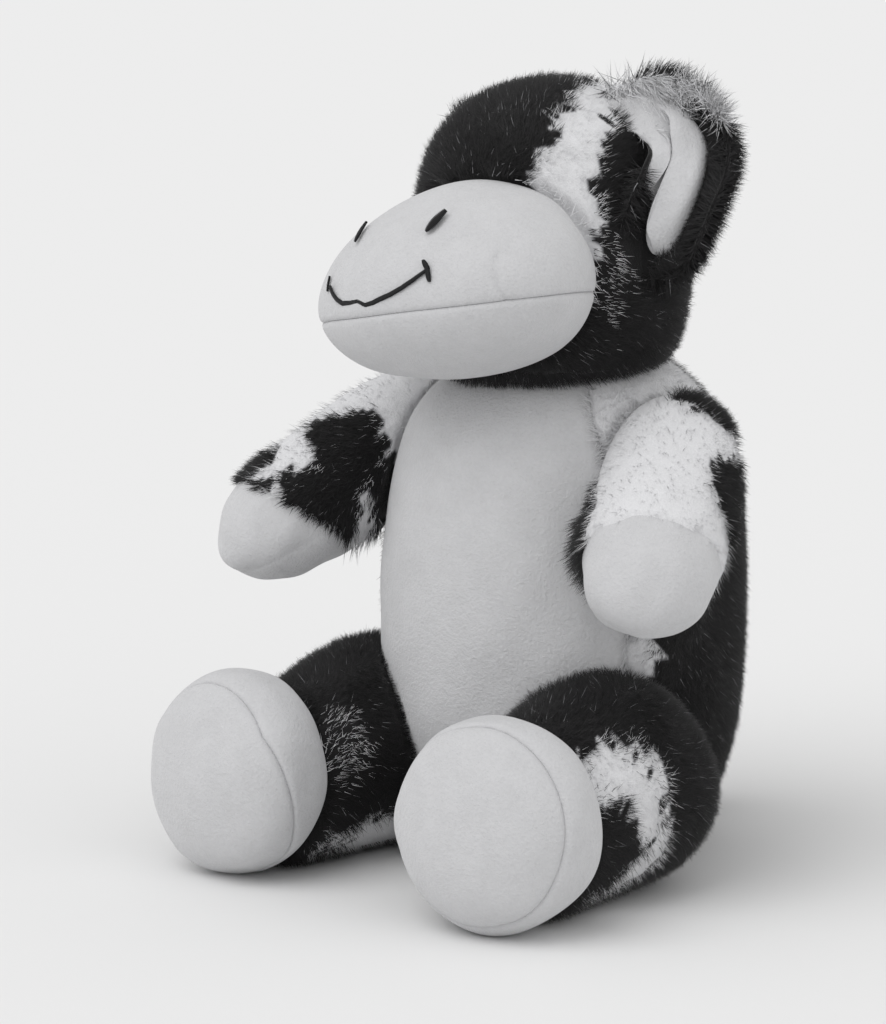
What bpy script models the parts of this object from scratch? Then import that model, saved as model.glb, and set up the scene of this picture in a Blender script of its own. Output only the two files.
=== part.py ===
"""A seated plush cow, built the way it is sewn: fur and short-pile skins over loose stuffing.

The cow faces -Y, its left side is +X and up is +Z. The origin is the middle of its seat.
Every skin is a shell between two surfaces of one soft form, so what is sewn to it or
stuffed into it follows the same named sizes.
"""

import math

import bmesh
import bpy
from mathutils import Matrix, Vector

MM = 0.001
X_AXIS = Vector((1, 0, 0))
Y_AXIS = Vector((0, 1, 0))
Z_AXIS = Vector((0, 0, 1))

# Fabric and clearances
FUR_WALL = 4.5 * MM
PLUSH_RECESS = 1.0 * MM
SEAM_GAP = 0.3 * MM
STUFFING_GAP = 0.5 * MM
JOINT_GAP = 0.7 * MM
NECK_GAP = 2.4 * MM
FLAT_CUT = 0.5 * MM
SMOOTHING_LOSS = 0.7 * MM
THREAD_RADIUS = 0.8 * MM
STITCH_HEIGHT = 0.8 * MM
CUT_OVERRUN = 40 * MM
MERGE_DISTANCE = 0.01 * MM

# Torso
TORSO_HEIGHT = 158 * MM
TORSO_HALF_WIDTH = 56 * MM
TORSO_HALF_DEPTH = 58 * MM
TORSO_SIDES = 10
# Height, half width, half depth, place ahead and place aside of each ring, from the neck down
TORSO_SHARES = (
    (1.015, 0.0, 0.0, 0.0, 0.0),
    (0.995, 0.42, 0.42, 0.0, 0.0),
    (0.935, 0.72, 0.71, 0.0, 0.0),
    (0.82, 0.93, 0.92, 0.0, 0.0),
    (0.65, 1.01, 1.01, -0.01, 0.0),
    (0.46, 1.02, 1.03, -0.02, 0.0),
    (0.27, 1.00, 1.01, -0.02, 0.0),
    (0.12, 0.90, 0.90, -0.01, 0.0),
    (0.012, 0.66, 0.66, 0.0, 0.0),
    (-0.008, 0.0, 0.0, 0.0, 0.0),
)
BELLY_TOP_SHARE = 1.044
BELLY_FOOT_HEIGHT = 10 * MM
BELLY_HALF_WIDTH = 49 * MM
BELLY_TAPER_SHARE = 0.08
BELLY_POINTS = 32
POUCH_HEIGHT = 24 * MM
CLOSING_SEAM_LENGTH = 50 * MM
CLOSING_SEAM_SHARE = 0.66
CLOSING_SEAM_WAVE = 1.2 * MM
CLOSING_SEAM_STITCHES = 9

# Neck and head
NECK_SEAM_RADIUS = 32 * MM
NECK_SEAM_LIFT = 1.5 * MM
NECK_SEAM_THREAD = 0.6 * MM
NECK_SEAM_POINTS = 20
NOD_HEIGHT_SHARE = 0.72
NOD_LOW = -10
NOD_HIGH = 10
TURN_LIMIT = 20
HEAD_HALF_HEIGHT = 49.5 * MM
HEAD_HALF_WIDTH = 43 * MM
HEAD_HALF_DEPTH = 41 * MM
HEAD_RISE = 36 * MM
HEAD_FORWARD = 6 * MM
HEAD_ROLL = -9
HEAD_YAW = -4.5
HEAD_SIDES = 10
# The same for the head, from its crown, then for the muzzle, and for a foot from its sole
HEAD_SHARES = (
    (0.90, 0.0, 0.0, 0.0, 0.12),
    (0.80, 0.50, 0.54, 0.0, 0.10),
    (0.54, 0.84, 0.87, 0.0, 0.05),
    (0.16, 1.00, 1.02, 0.0, 0.0),
    (-0.28, 1.00, 1.00, 0.0, 0.0),
    (-0.68, 0.92, 0.92, -0.05, 0.0),
    (-0.97, 0.84, 0.82, -0.12, 0.0),
    (-1.12, 0.0, 0.0, -0.14, 0.0),
)
MUZZLE_HALF_HEIGHT = 29 * MM
MUZZLE_HALF_WIDTH = 47 * MM
MUZZLE_HALF_DEPTH = 37 * MM
MUZZLE_FORWARD = 46 * MM
MUZZLE_DROP = 14 * MM
MUZZLE_SIDES = 10
MUZZLE_SHARES = (
    (1.10, 0.0, 0.0, 0.26, 0.0),
    (0.95, 0.52, 0.50, 0.22, 0.0),
    (0.52, 0.88, 0.86, 0.12, 0.0),
    (-0.02, 1.04, 1.03, 0.01, 0.0),
    (-0.52, 0.97, 0.96, 0.0, 0.0),
    (-0.92, 0.62, 0.62, 0.04, 0.0),
    (-1.06, 0.0, 0.0, 0.06, 0.0),
)
MOUTH_SEAM_DROP = 9 * MM
NOSTRIL_HALF_SPACING = 17.5 * MM
NOSTRIL_RISE = 17.5 * MM
NOSTRIL_HALF_LENGTH = 3.4 * MM
NOSTRIL_HALF_WIDTH = 2.0 * MM
NOSTRIL_LEAN = 35
NOSTRIL_POINTS = 12
SMILE_HALF_WIDTH = 19 * MM
SMILE_DEPTH = 6.5 * MM
SMILE_RISE = 2 * MM
SMILE_THICKNESS = 1.7 * MM
SMILE_TICK = 5 * MM
SMILE_POINTS = 25

# Ears
EAR_LENGTH = 65 * MM
EAR_FLAT_HALF_WIDTH = 20 * MM
EAR_TROUGH_RADIUS = 11.5 * MM
EAR_BACK_WALL = 4.0 * MM
EAR_LINING_WALL = 2.0 * MM
EAR_ROOT_RISE = 29 * MM
EAR_ROOT_OUT = 33 * MM
EAR_ROOT_BACK = 4 * MM
EAR_ROOT_DROOP = 0
EAR_TIP_DROOP = 118
EAR_BEND_SHARE = 0.5
EAR_FACING_LEFT = 40
EAR_FACING_RIGHT = 72
EAR_LEAN_LEFT = 14
EAR_LEAN_RIGHT = 3
EAR_LOW = -8
EAR_HIGH = 30
EAR_ROOT_SHARE = 0.45
EAR_WIDEST_SHARE = 0.6
EAR_TIP_SHARE = 0.98
EAR_ROWS = 8
EAR_COLUMNS = 6

# Arms
ARM_LENGTH = 84 * MM
ARM_RADIUS = 22.5 * MM
HOOF_HALF_WIDTH = 21.5 * MM
HOOF_HALF_HEIGHT = 17 * MM
ARM_SIDES = 8
ARM_OUT = 27
ARM_DOWN = 32
SHOULDER_SHARES = (0.86, -0.10, 0.835)
ARM_LOW = -15
ARM_HIGH = 20
SLEEVE_END_SHARE = 0.64
# Along the arm and fullness of each ring, from the hoof back to the shoulder
ARM_SHARES = (
    (1.02, 0.0),
    (0.96, 0.62),
    (0.82, 1.0),
    (0.60, 1.03),
    (0.30, 1.02),
    (-0.02, 0.95),
    (-0.24, 0.0),
)
HOOF_START_SHARE = 0.5

# Legs and feet
LEG_RADIUS = 28.5 * MM
LEG_LENGTH = 56 * MM
LEG_SIDES = 8
LEG_SPLAY = 7
HIP_SHARES = (0.78, -0.66)
LEG_LOW = -12
LEG_HIGH = 20
# Along the leg, half width and half height of each ring, from the foot back to the hip
LEG_SHARES = (
    (1.05, 0.0, 0.0),
    (0.94, 0.70, 0.70),
    (0.68, 0.95, 0.95),
    (0.34, 1.07, 1.10),
    (-0.06, 1.14, 1.24),
    (-0.46, 0.86, 1.04),
    (-0.62, 0.0, 0.0),
)
FOOT_HALF_WIDTH = 32.5 * MM
FOOT_HALF_HEIGHT = 32.5 * MM
FOOT_HALF_THICKNESS = 21 * MM
FOOT_SIDES = 8
FOOT_LEAN = 7
FOOT_SHARES = (
    (1.06, 0.0, 0.0, 0.0, 0.0),
    (0.98, 0.54, 0.54, 0.0, 0.0),
    (0.62, 0.95, 0.95, 0.0, 0.0),
    (-0.06, 1.07, 1.07, 0.0, 0.0),
    (-0.76, 0.88, 0.88, 0.0, 0.0),
    (-1.04, 0.0, 0.0, 0.0, 0.0),
)
SOLE_EDGE_SHARE = 0.5

# Tail
TAIL_RADIUS = 4.5 * MM
TAIL_ROOT_HEIGHT = 62 * MM
TAIL_BOW = 3 * MM
TAIL_POINTS = 9
TAIL_SWING = 20
TUFT_LENGTH = 26 * MM
TUFT_RADIUS = 8 * MM
TUFT_SHARES = (
    (1.0, 0.0),
    (0.82, 0.62),
    (0.48, 1.0),
    (0.16, 0.72),
    (-0.08, 0.0),
)
TAIL_SIDES = 8


def clear_scene():
    """Remove whatever the opened file holds."""
    for thing in list(bpy.data.objects):
        bpy.data.objects.remove(thing, do_unlink=True)


clear_scene()
parts = bpy.data.collections.new("plush_cow")
cutters = bpy.data.collections.new("cutters")
bpy.context.scene.collection.children.link(parts)
bpy.context.scene.collection.children.link(cutters)


def fabric(name, colour, roughness):
    """Plain cloth of one colour."""
    material = bpy.data.materials.new(name)
    material.use_nodes = True
    shader = material.node_tree.nodes["Principled BSDF"]
    shader.inputs["Base Color"].default_value = (*colour, 1)
    shader.inputs["Roughness"].default_value = roughness
    shader.inputs["Metallic"].default_value = 0
    material.diffuse_color = (*colour, 1)
    return material


WHITE = (0.80, 0.81, 0.82)
BLACK = (0.012, 0.012, 0.014)
FUR_WHITE = fabric("white_fur", WHITE, 0.9)
FUR_BLACK = fabric("black_fur", BLACK, 0.85)
SHORT_PILE = fabric("white_short_pile", WHITE, 0.95)
THREAD = fabric("black_thread", BLACK, 0.5)
FIBRE = fabric("stuffing_fibre", (0.85, 0.85, 0.84), 1.0)
PELLET_CLOTH = fabric("pellet_cloth", (0.7, 0.7, 0.68), 1.0)


class Form:
    """A soft closed form: rings of a sphere moved onto sections along its own Z.

    A section is height, half width, half depth, sideways place and forward place.
    """

    def __init__(self, sections, sides, place, pivot):
        self.sections = sections
        self.sides = sides
        self.place = place
        self.pivot = pivot

    def mesh(self, name):
        """The coarse cage, in the frame whose origin is the form's pivot."""
        rows = len(self.sections) - 1
        fullness = 4 / (3 + math.cos(math.tau / self.sides))
        cage = bmesh.new()
        bmesh.ops.create_uvsphere(cage, u_segments=self.sides, v_segments=rows, radius=1)
        for vert in cage.verts:
            polar = math.acos(max(-1, min(1, vert.co.z)))
            turn = math.atan2(vert.co.y, vert.co.x)
            height, half_width, half_depth, aside, ahead = self.sections[round(polar / math.pi * rows)]
            point = Vector((
                aside + half_width * fullness * math.cos(turn),
                ahead + half_depth * fullness * math.sin(turn),
                height,
            ))
            vert.co = self.place @ point - self.pivot
        mesh = bpy.data.meshes.new(name)
        cage.to_mesh(mesh)
        cage.free()
        mesh.shade_smooth()
        return mesh

    def solid(self, name, inset, collection):
        """The form grown inwards by inset from its outer surface, or outwards if negative."""
        body = bpy.data.objects.new(name, self.mesh(name))
        collection.objects.link(body)
        body.location = self.pivot
        smooth = body.modifiers.new("soft", "SUBSURF")
        smooth.levels = 1
        smooth.render_levels = 1
        if inset:
            shift = body.modifiers.new("inset", "DISPLACE")
            shift.strength = -inset
            shift.mid_level = 0
        return body

    def part(self, name, inset, material):
        """A piece of the toy that starts as this form."""
        body = self.solid(name, inset, parts)
        body.data.materials.append(material)
        return body

    def cutter(self, name, inset):
        """This form as a tool that cuts other pieces."""
        return as_cutter(self.solid(name, inset, cutters))


def as_cutter(body):
    """Mark an object as a tool that isn't part of the toy."""
    body.hide_render = True
    body.display_type = "WIRE"
    return body


def combine(body, tool, operation):
    """Cut, keep or join body by tool."""
    step = body.modifiers.new(f"{operation.lower()}_{tool.name}"[:60], "BOOLEAN")
    step.operation = operation
    step.object = tool
    return body


def cut(body, *tools):
    for tool in tools:
        combine(body, tool, "DIFFERENCE")
    return body


def fit_to(body, *seats):
    """Cut by the same neighbour in several places of a joint's travel.

    These lie so near each other that the exact solver can drop the whole piece.
    """
    for seat in seats:
        combine(body, seat, "DIFFERENCE").modifiers[-1].solver = "MANIFOLD"
    return body


def keep_inside(body, tool):
    return combine(body, tool, "INTERSECT")


def block(name, lowest, highest, place=Matrix.Identity(4)):
    """A box cutter between two corners, in the frame of place."""
    mesh = bpy.data.meshes.new(name)
    cube = bmesh.new()
    bmesh.ops.create_cube(cube, size=1)
    low = Vector(lowest)
    high = Vector(highest)
    for vert in cube.verts:
        share = vert.co + Vector((0.5, 0.5, 0.5))
        vert.co = place @ Vector(low[i] + (high[i] - low[i]) * share[i] for i in range(3))
    cube.to_mesh(mesh)
    cube.free()
    body = bpy.data.objects.new(name, mesh)
    cutters.objects.link(body)
    return as_cutter(body)


def turned_copy(form, name, inset, pivot, axis, degrees):
    """The form as a cutter, turned about an axis through pivot."""
    about = Matrix.Translation(pivot) @ Matrix.Rotation(math.radians(degrees), 4, axis)
    about = about @ Matrix.Translation(-pivot)
    moved = Form(form.sections, form.sides, about @ form.place, form.pivot)
    return moved.cutter(name, inset)


def outline_prism(name, points, depth, place):
    """A closed flat outline in the XZ plane of place, carried along its Y from zero to depth."""
    curve = bpy.data.curves.new(name, "CURVE")
    curve.dimensions = "2D"
    curve.fill_mode = "BOTH"
    curve.extrude = depth / 2
    spline = curve.splines.new("POLY")
    spline.points.add(len(points) - 1)
    for spot, (across, up) in zip(spline.points, points):
        spot.co = (across, up, 0, 1)
    spline.use_cyclic_u = True
    flat = bpy.data.objects.new(name + "_outline", curve)
    cutters.objects.link(flat)
    stand = Matrix.Rotation(math.radians(90), 4, "X")
    flat.matrix_world = place @ Matrix.Translation(Y_AXIS * depth / 2) @ stand
    bpy.context.view_layer.update()
    mesh = bpy.data.meshes.new_from_object(flat.evaluated_get(bpy.context.evaluated_depsgraph_get()))
    mesh.name = name
    cage = bmesh.new()
    cage.from_mesh(mesh)
    bmesh.ops.remove_doubles(cage, verts=cage.verts, dist=MERGE_DISTANCE)
    bmesh.ops.recalc_face_normals(cage, faces=cage.faces)
    cage.to_mesh(mesh)
    cage.free()
    body = bpy.data.objects.new(name, mesh)
    cutters.objects.link(body)
    body.matrix_world = flat.matrix_world
    bpy.data.objects.remove(flat, do_unlink=True)
    return as_cutter(body)


def thread(name, points, radius, closed, pivot, material):
    """A round thread along points."""
    curve = bpy.data.curves.new(name, "CURVE")
    curve.dimensions = "3D"
    curve.bevel_depth = radius
    curve.bevel_resolution = 1
    curve.use_fill_caps = True
    spline = curve.splines.new("POLY")
    spline.points.add(len(points) - 1)
    for spot, point in zip(spline.points, points):
        spot.co = (*(Vector(point) - pivot), 1)
    spline.use_cyclic_u = closed
    body = bpy.data.objects.new(name, curve)
    parts.objects.link(body)
    body.location = pivot
    curve.materials.append(material)
    return body


def sections(shares, height, half_width, half_depth):
    """Named sizes times the shares of a table, as the sections of a form."""
    return [
        (up * height, wide * half_width, deep * half_depth, aside * half_width, ahead * half_depth)
        for up, wide, deep, ahead, aside in shares
    ]


SEAT = Vector((0, 0, 0))
torso_form = Form(
    sections(TORSO_SHARES, TORSO_HEIGHT, TORSO_HALF_WIDTH, TORSO_HALF_DEPTH),
    TORSO_SIDES, Matrix.Identity(4), SEAT,
)
under_floor = block(
    "under_floor",
    (-CUT_OVERRUN - 2 * TORSO_HEIGHT, -CUT_OVERRUN - 2 * TORSO_HEIGHT, -CUT_OVERRUN),
    (CUT_OVERRUN + 2 * TORSO_HEIGHT, CUT_OVERRUN + 2 * TORSO_HEIGHT, 0),
)


def build_torso():
    """Fur shell with a belly panel let in at the front, over fibre and a pouch of pellets."""
    inside = torso_form.cutter("torso_inside", FUR_WALL)

    def belly_outline(margin):
        """An egg: an arc over the chest, widest below the middle, narrow at the crotch."""
        top = BELLY_TOP_SHARE * TORSO_HEIGHT
        middle = (top + BELLY_FOOT_HEIGHT) / 2
        half_height = (top - BELLY_FOOT_HEIGHT) / 2 + margin
        outline = []
        for step in range(BELLY_POINTS):
            turn = math.tau * step / BELLY_POINTS
            up = math.sin(turn)
            width = (BELLY_HALF_WIDTH + margin) * (1 - BELLY_TAPER_SHARE * up)
            outline.append((width * math.cos(turn), middle + half_height * up))
        return outline

    front = Matrix.Translation(-Y_AXIS * (TORSO_HALF_DEPTH + CUT_OVERRUN))
    depth = TORSO_HALF_DEPTH + CUT_OVERRUN
    hole = outline_prism("belly_hole", belly_outline(SEAM_GAP), depth + SEAM_GAP, front)
    keep = outline_prism("belly_edge", belly_outline(0), depth, front)

    cover = torso_form.part("torso_cover", 0, FUR_BLACK)
    cut(cover, inside, hole, under_floor)
    panel = torso_form.part("belly_panel", PLUSH_RECESS, SHORT_PILE)
    keep_inside(cut(panel, inside), keep)

    loft = POUCH_HEIGHT + SEAM_GAP
    reach = TORSO_HALF_WIDTH + CUT_OVERRUN
    below = block("below_pouch_top", (-reach, -reach, -CUT_OVERRUN), (reach, reach, loft))
    ceiling = TORSO_HEIGHT + CUT_OVERRUN
    above = block("above_pouch_top", (-reach, -reach, POUCH_HEIGHT), (reach, reach, ceiling))
    cut(torso_form.part("torso_stuffing", FUR_WALL + STUFFING_GAP, FIBRE), below)
    cut(torso_form.part("seat_bean_pouch", FUR_WALL + STUFFING_GAP, PELLET_CLOTH), above)


torso_surface = torso_form.cutter("torso_surface", 0)


def torso_back(height):
    """How far behind the origin the torso's back lies at a height."""
    bpy.context.view_layer.update()
    soft = torso_surface.evaluated_get(bpy.context.evaluated_depsgraph_get())
    behind = Vector((0, TORSO_HALF_DEPTH + CUT_OVERRUN, height))
    return soft.ray_cast(behind, -Y_AXIS)[1].y


def torso_crown(radius):
    """Height of the torso's crown at a distance from its axis."""
    bpy.context.view_layer.update()
    soft = torso_surface.evaluated_get(bpy.context.evaluated_depsgraph_get())
    above = Vector((radius, 0, TORSO_HEIGHT + CUT_OVERRUN))
    return soft.ray_cast(above, -Z_AXIS)[1].z


def build_closing_seam():
    """Zigzag of ladder stitches up the back, just clear of the fur shell."""
    points = []
    for step in range(CLOSING_SEAM_STITCHES + 1):
        share = step / CLOSING_SEAM_STITCHES
        height = CLOSING_SEAM_SHARE * TORSO_HEIGHT + (share - 0.5) * CLOSING_SEAM_LENGTH
        aside = CLOSING_SEAM_WAVE * (1 if step % 2 else -1)
        points.append(Vector((aside, torso_back(height) + THREAD_RADIUS + SEAM_GAP, height)))
    thread("back_closing_seam", points, THREAD_RADIUS, False, SEAT, THREAD)


NOD_PIVOT = Vector((0, 0, NOD_HEIGHT_SHARE * TORSO_HEIGHT))
HEAD_CENTRE = Vector((0, -HEAD_FORWARD, TORSO_HEIGHT + HEAD_RISE))
head_turn = Matrix.Rotation(math.radians(HEAD_YAW), 4, "Z")
head_turn = head_turn @ Matrix.Rotation(math.radians(HEAD_ROLL), 4, "Y")
head_place = Matrix.Translation(HEAD_CENTRE) @ head_turn
head_form = Form(
    sections(HEAD_SHARES, HEAD_HALF_HEIGHT, HEAD_HALF_WIDTH, HEAD_HALF_DEPTH),
    HEAD_SIDES, head_place, NOD_PIVOT,
)
muzzle_place = head_place @ Matrix.Translation(Vector((0, -MUZZLE_FORWARD, -MUZZLE_DROP)))
muzzle_form = Form(
    sections(MUZZLE_SHARES, MUZZLE_HALF_HEIGHT, MUZZLE_HALF_WIDTH, MUZZLE_HALF_DEPTH),
    MUZZLE_SIDES, muzzle_place, NOD_PIVOT,
)


def build_neck_seam():
    """Ring of stitching thread in the crease where head and torso meet."""
    height = torso_crown(NECK_SEAM_RADIUS) + NECK_SEAM_LIFT
    points = []
    for step in range(NECK_SEAM_POINTS):
        turn = math.tau * step / NECK_SEAM_POINTS
        flat = Vector((math.cos(turn), math.sin(turn), 0)) * NECK_SEAM_RADIUS
        points.append(flat + Z_AXIS * height)
    thread("neck_seam", points, NECK_SEAM_THREAD, True, NOD_PIVOT, THREAD)


def build_head():
    """Fur head cover with a two-panel muzzle, over one stuffing; its seat follows the torso."""
    inside = head_form.cutter("head_inside", FUR_WALL)
    muzzle_outside = muzzle_form.cutter("muzzle_outside", -SEAM_GAP)
    muzzle_inside = muzzle_form.cutter("muzzle_inside", FUR_WALL)
    seats = [
        turned_copy(torso_form, f"head_seat_{index}", -NECK_GAP, NOD_PIVOT, "X", -angle)
        for index, angle in enumerate((NOD_LOW, NOD_HIGH))
    ]

    cover = head_form.part("head_cover", 0, FUR_BLACK)
    fit_to(cut(cover, inside, muzzle_outside), *seats)

    reach = MUZZLE_HALF_WIDTH + CUT_OVERRUN
    seam = -MOUTH_SEAM_DROP
    low_end = (-reach, -reach, -reach)
    high_end = (reach, reach, reach)
    low_half = block("below_mouth_seam", low_end, (reach, reach, seam + SEAM_GAP / 2), muzzle_place)
    top_half = block("above_mouth_seam", (-reach, -reach, seam - SEAM_GAP / 2), high_end, muzzle_place)
    upper = muzzle_form.part("muzzle_upper", PLUSH_RECESS, SHORT_PILE)
    cut(upper, muzzle_inside, inside, low_half)
    lower = muzzle_form.part("muzzle_lower", PLUSH_RECESS, SHORT_PILE)
    cut(lower, muzzle_inside, inside, top_half)

    stuffing = head_form.part("head_stuffing", FUR_WALL + STUFFING_GAP, FIBRE)
    combine(stuffing, muzzle_form.cutter("muzzle_filling", FUR_WALL + STUFFING_GAP), "UNION")
    fit_to(stuffing, *seats)


def embroidery(name, outline):
    """A patch of satin stitch: a thin layer over the muzzle inside an outline seen from the front."""
    base = muzzle_form.cutter(name + "_ground", PLUSH_RECESS - SEAM_GAP)
    depth = MUZZLE_HALF_DEPTH + CUT_OVERRUN
    front = muzzle_place @ Matrix.Translation(-Y_AXIS * depth)
    prism = outline_prism(name + "_outline", outline, depth, front)
    patch = muzzle_form.part(name, PLUSH_RECESS - SEAM_GAP - STITCH_HEIGHT, THREAD)
    keep_inside(cut(patch, base), prism)


def build_embroidery():
    """Two leaning oval nostrils and a smile with a short tick at each end."""
    for side, name in ((1, "nostril_left"), (-1, "nostril_right")):
        outline = []
        lean = math.radians(NOSTRIL_LEAN) * side
        for step in range(NOSTRIL_POINTS):
            turn = math.tau * step / NOSTRIL_POINTS
            along = NOSTRIL_HALF_LENGTH * math.sin(turn)
            across = NOSTRIL_HALF_WIDTH * math.cos(turn)
            outline.append((
                side * NOSTRIL_HALF_SPACING + across * math.cos(lean) + along * math.sin(lean),
                NOSTRIL_RISE - across * math.sin(lean) + along * math.cos(lean),
            ))
        embroidery(name, outline)

    half = SMILE_THICKNESS / 2
    lower_edge = []
    upper_edge = []
    for step in range(SMILE_POINTS):
        share = 2 * step / (SMILE_POINTS - 1) - 1
        height = SMILE_RISE + SMILE_DEPTH * (share * share - 1)
        across = SMILE_HALF_WIDTH * share
        lower_edge.append((across, height - half))
        upper_edge.append((across, height + half))
    tip = lower_edge[-1][0]
    right_tick = [(tip, SMILE_RISE - SMILE_TICK / 2), (tip + 2 * half, SMILE_RISE - SMILE_TICK / 2),
                  (tip + 2 * half, SMILE_RISE + SMILE_TICK / 2), (tip, SMILE_RISE + SMILE_TICK / 2)]
    left_tick = [(-across, height) for across, height in reversed(right_tick)]
    embroidery("smile", lower_edge[:-1] + right_tick + upper_edge[-2:0:-1] + left_tick)


def leaf_half_width(along):
    """Half the ear's width at a share of its length: grows from the root, then rounds off."""
    grown = math.sin(math.pi / 2 * min(1, along / EAR_WIDEST_SHARE))
    half_width = EAR_FLAT_HALF_WIDTH * (EAR_ROOT_SHARE + (1 - EAR_ROOT_SHARE) * grown)
    past = max(0, along - EAR_WIDEST_SHARE) / (1 - EAR_WIDEST_SHARE)
    return half_width * math.sqrt(1 - (EAR_TIP_SHARE * past) ** 2)


def ear_spine():
    """Place and droop of each row of an ear: it leaves the head level, bends over and hangs."""
    step = EAR_LENGTH / EAR_ROWS
    outward = 0
    down = 0
    rows = []
    for row in range(EAR_ROWS + 1):
        bent = min(1, row / EAR_ROWS / EAR_BEND_SHARE)
        droop = math.radians(EAR_ROOT_DROOP + (EAR_TIP_DROOP - EAR_ROOT_DROOP) * bent)
        rows.append((outward, down, droop))
        outward += step * math.cos(droop)
        down += step * math.sin(droop)
    return rows


def ear_sheet(name, side, lift, wall, material, root, place):
    """One skin of an ear: a leaf rolled lengthwise into a trough that opens forwards."""
    bpy.ops.mesh.primitive_grid_add(x_subdivisions=EAR_COLUMNS, y_subdivisions=EAR_ROWS, size=2)
    sheet = bpy.context.object
    sheet.name = name
    sheet.users_collection[0].objects.unlink(sheet)
    parts.objects.link(sheet)
    spine = ear_spine()
    for vert in sheet.data.vertices:
        along = (vert.co.y + 1) / 2
        outward, down, droop = spine[round(along * EAR_ROWS)]
        roll = vert.co.x * leaf_half_width(along) / EAR_TROUGH_RADIUS
        across = EAR_TROUGH_RADIUS * math.sin(roll)
        ahead = EAR_TROUGH_RADIUS * (1 - math.cos(roll))
        point = Vector((
            side * (outward + across * math.sin(droop)),
            -ahead,
            -down + across * math.cos(droop),
        ))
        vert.co = place @ point - root
    if side > 0:
        sheet.data.flip_normals()
    sheet.data.materials.append(material)
    sheet.location = root
    if lift:
        shift = sheet.modifiers.new("lift", "DISPLACE")
        shift.strength = lift
        shift.mid_level = 0
    skin = sheet.modifiers.new("wall", "SOLIDIFY")
    skin.thickness = wall
    skin.offset = 0
    sheet.data.shade_smooth()
    return sheet


EAR_AXES = {}


def build_ears():
    """Each ear is a fur back and a short-pile lining, hung from a root high on the head's side."""
    poses = (
        (1, "left", EAR_FACING_LEFT, EAR_LEAN_LEFT),
        (-1, "right", EAR_FACING_RIGHT, EAR_LEAN_RIGHT),
    )
    for side, word, facing_angle, lean_angle in poses:
        root = head_place @ Vector((side * EAR_ROOT_OUT, EAR_ROOT_BACK, EAR_ROOT_RISE))
        facing = Matrix.Rotation(math.radians(side * facing_angle), 4, "Z")
        lean = Matrix.Rotation(math.radians(-lean_angle), 4, "X")
        place = Matrix.Translation(root) @ head_turn @ facing @ lean
        axis = -side * (head_turn.to_3x3() @ Y_AXIS)
        EAR_AXES[word] = axis
        seats = [
            turned_copy(head_form, f"ear_{word}_seat_{index}", -JOINT_GAP, root, axis, -angle)
            for index, angle in enumerate((EAR_LOW, (EAR_LOW + EAR_HIGH) / 2, EAR_HIGH))
        ]
        gap = (EAR_BACK_WALL + EAR_LINING_WALL) / 2 + JOINT_GAP
        fit_to(ear_sheet(f"ear_{word}_back", side, 0, EAR_BACK_WALL, FUR_WHITE, root, place), *seats)
        fit_to(ear_sheet(f"ear_{word}_lining", side, gap, EAR_LINING_WALL, SHORT_PILE, root, place), *seats)


def frame_along(start, direction):
    """A place whose Z runs along direction and whose X is level."""
    z = direction.normalized()
    x = z.cross(Z_AXIS).normalized()
    y = z.cross(x)
    turn = Matrix((x, y, z)).transposed().to_4x4()
    return Matrix.Translation(start) @ turn


def limb_seats(word, pivot, axis, angles):
    """The torso as each angle of a limb's joint meets the limb."""
    return [
        turned_copy(torso_form, f"{word}_seat_{index}", -JOINT_GAP, pivot, axis, -angle)
        for index, angle in enumerate(angles)
    ]


def build_arms():
    """Each arm is a fur sleeve that ends in a short-pile hoof, over one stuffing."""
    for side, word in ((1, "left"), (-1, "right")):
        wide, ahead, up = SHOULDER_SHARES
        shoulder = Vector((side * wide * TORSO_HALF_WIDTH, ahead * TORSO_HALF_DEPTH, up * TORSO_HEIGHT))
        out = math.radians(ARM_OUT)
        down = math.radians(ARM_DOWN)
        level = math.cos(down)
        direction = Vector((side * math.sin(out) * level, -math.cos(out) * level, -math.sin(down)))
        place = frame_along(shoulder, direction)
        rings = []
        for along, full in ARM_SHARES:
            blend = max(0, min(1, (along - HOOF_START_SHARE) / (1 - HOOF_START_SHARE)))
            wide_radius = ARM_RADIUS + (HOOF_HALF_WIDTH - ARM_RADIUS) * blend
            tall_radius = ARM_RADIUS + (HOOF_HALF_HEIGHT - ARM_RADIUS) * blend
            rings.append((along * ARM_LENGTH, full * wide_radius, full * tall_radius, 0, 0))
        form = Form(rings, ARM_SIDES, place, shoulder)
        inside = form.cutter(f"arm_{word}_inside", FUR_WALL)
        seats = limb_seats(f"arm_{word}", shoulder, "X", (-ARM_LOW, -(ARM_LOW + ARM_HIGH) / 2, -ARM_HIGH))
        wrist = SLEEVE_END_SHARE * ARM_LENGTH
        reach = ARM_LENGTH + CUT_OVERRUN
        beyond = block(f"arm_{word}_beyond", (-reach, -reach, wrist), (reach, reach, reach), place)
        corner = (reach, reach, wrist + SEAM_GAP)
        before = block(f"arm_{word}_before", (-reach, -reach, -reach), corner, place)
        fit_to(cut(form.part(f"arm_{word}_sleeve", 0, FUR_WHITE), inside, beyond), *seats)
        cut(form.part(f"arm_{word}_hoof", 2 * PLUSH_RECESS, SHORT_PILE), inside, before)
        fit_to(form.part(f"arm_{word}_stuffing", FUR_WALL + STUFFING_GAP, FIBRE), *seats)


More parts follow.
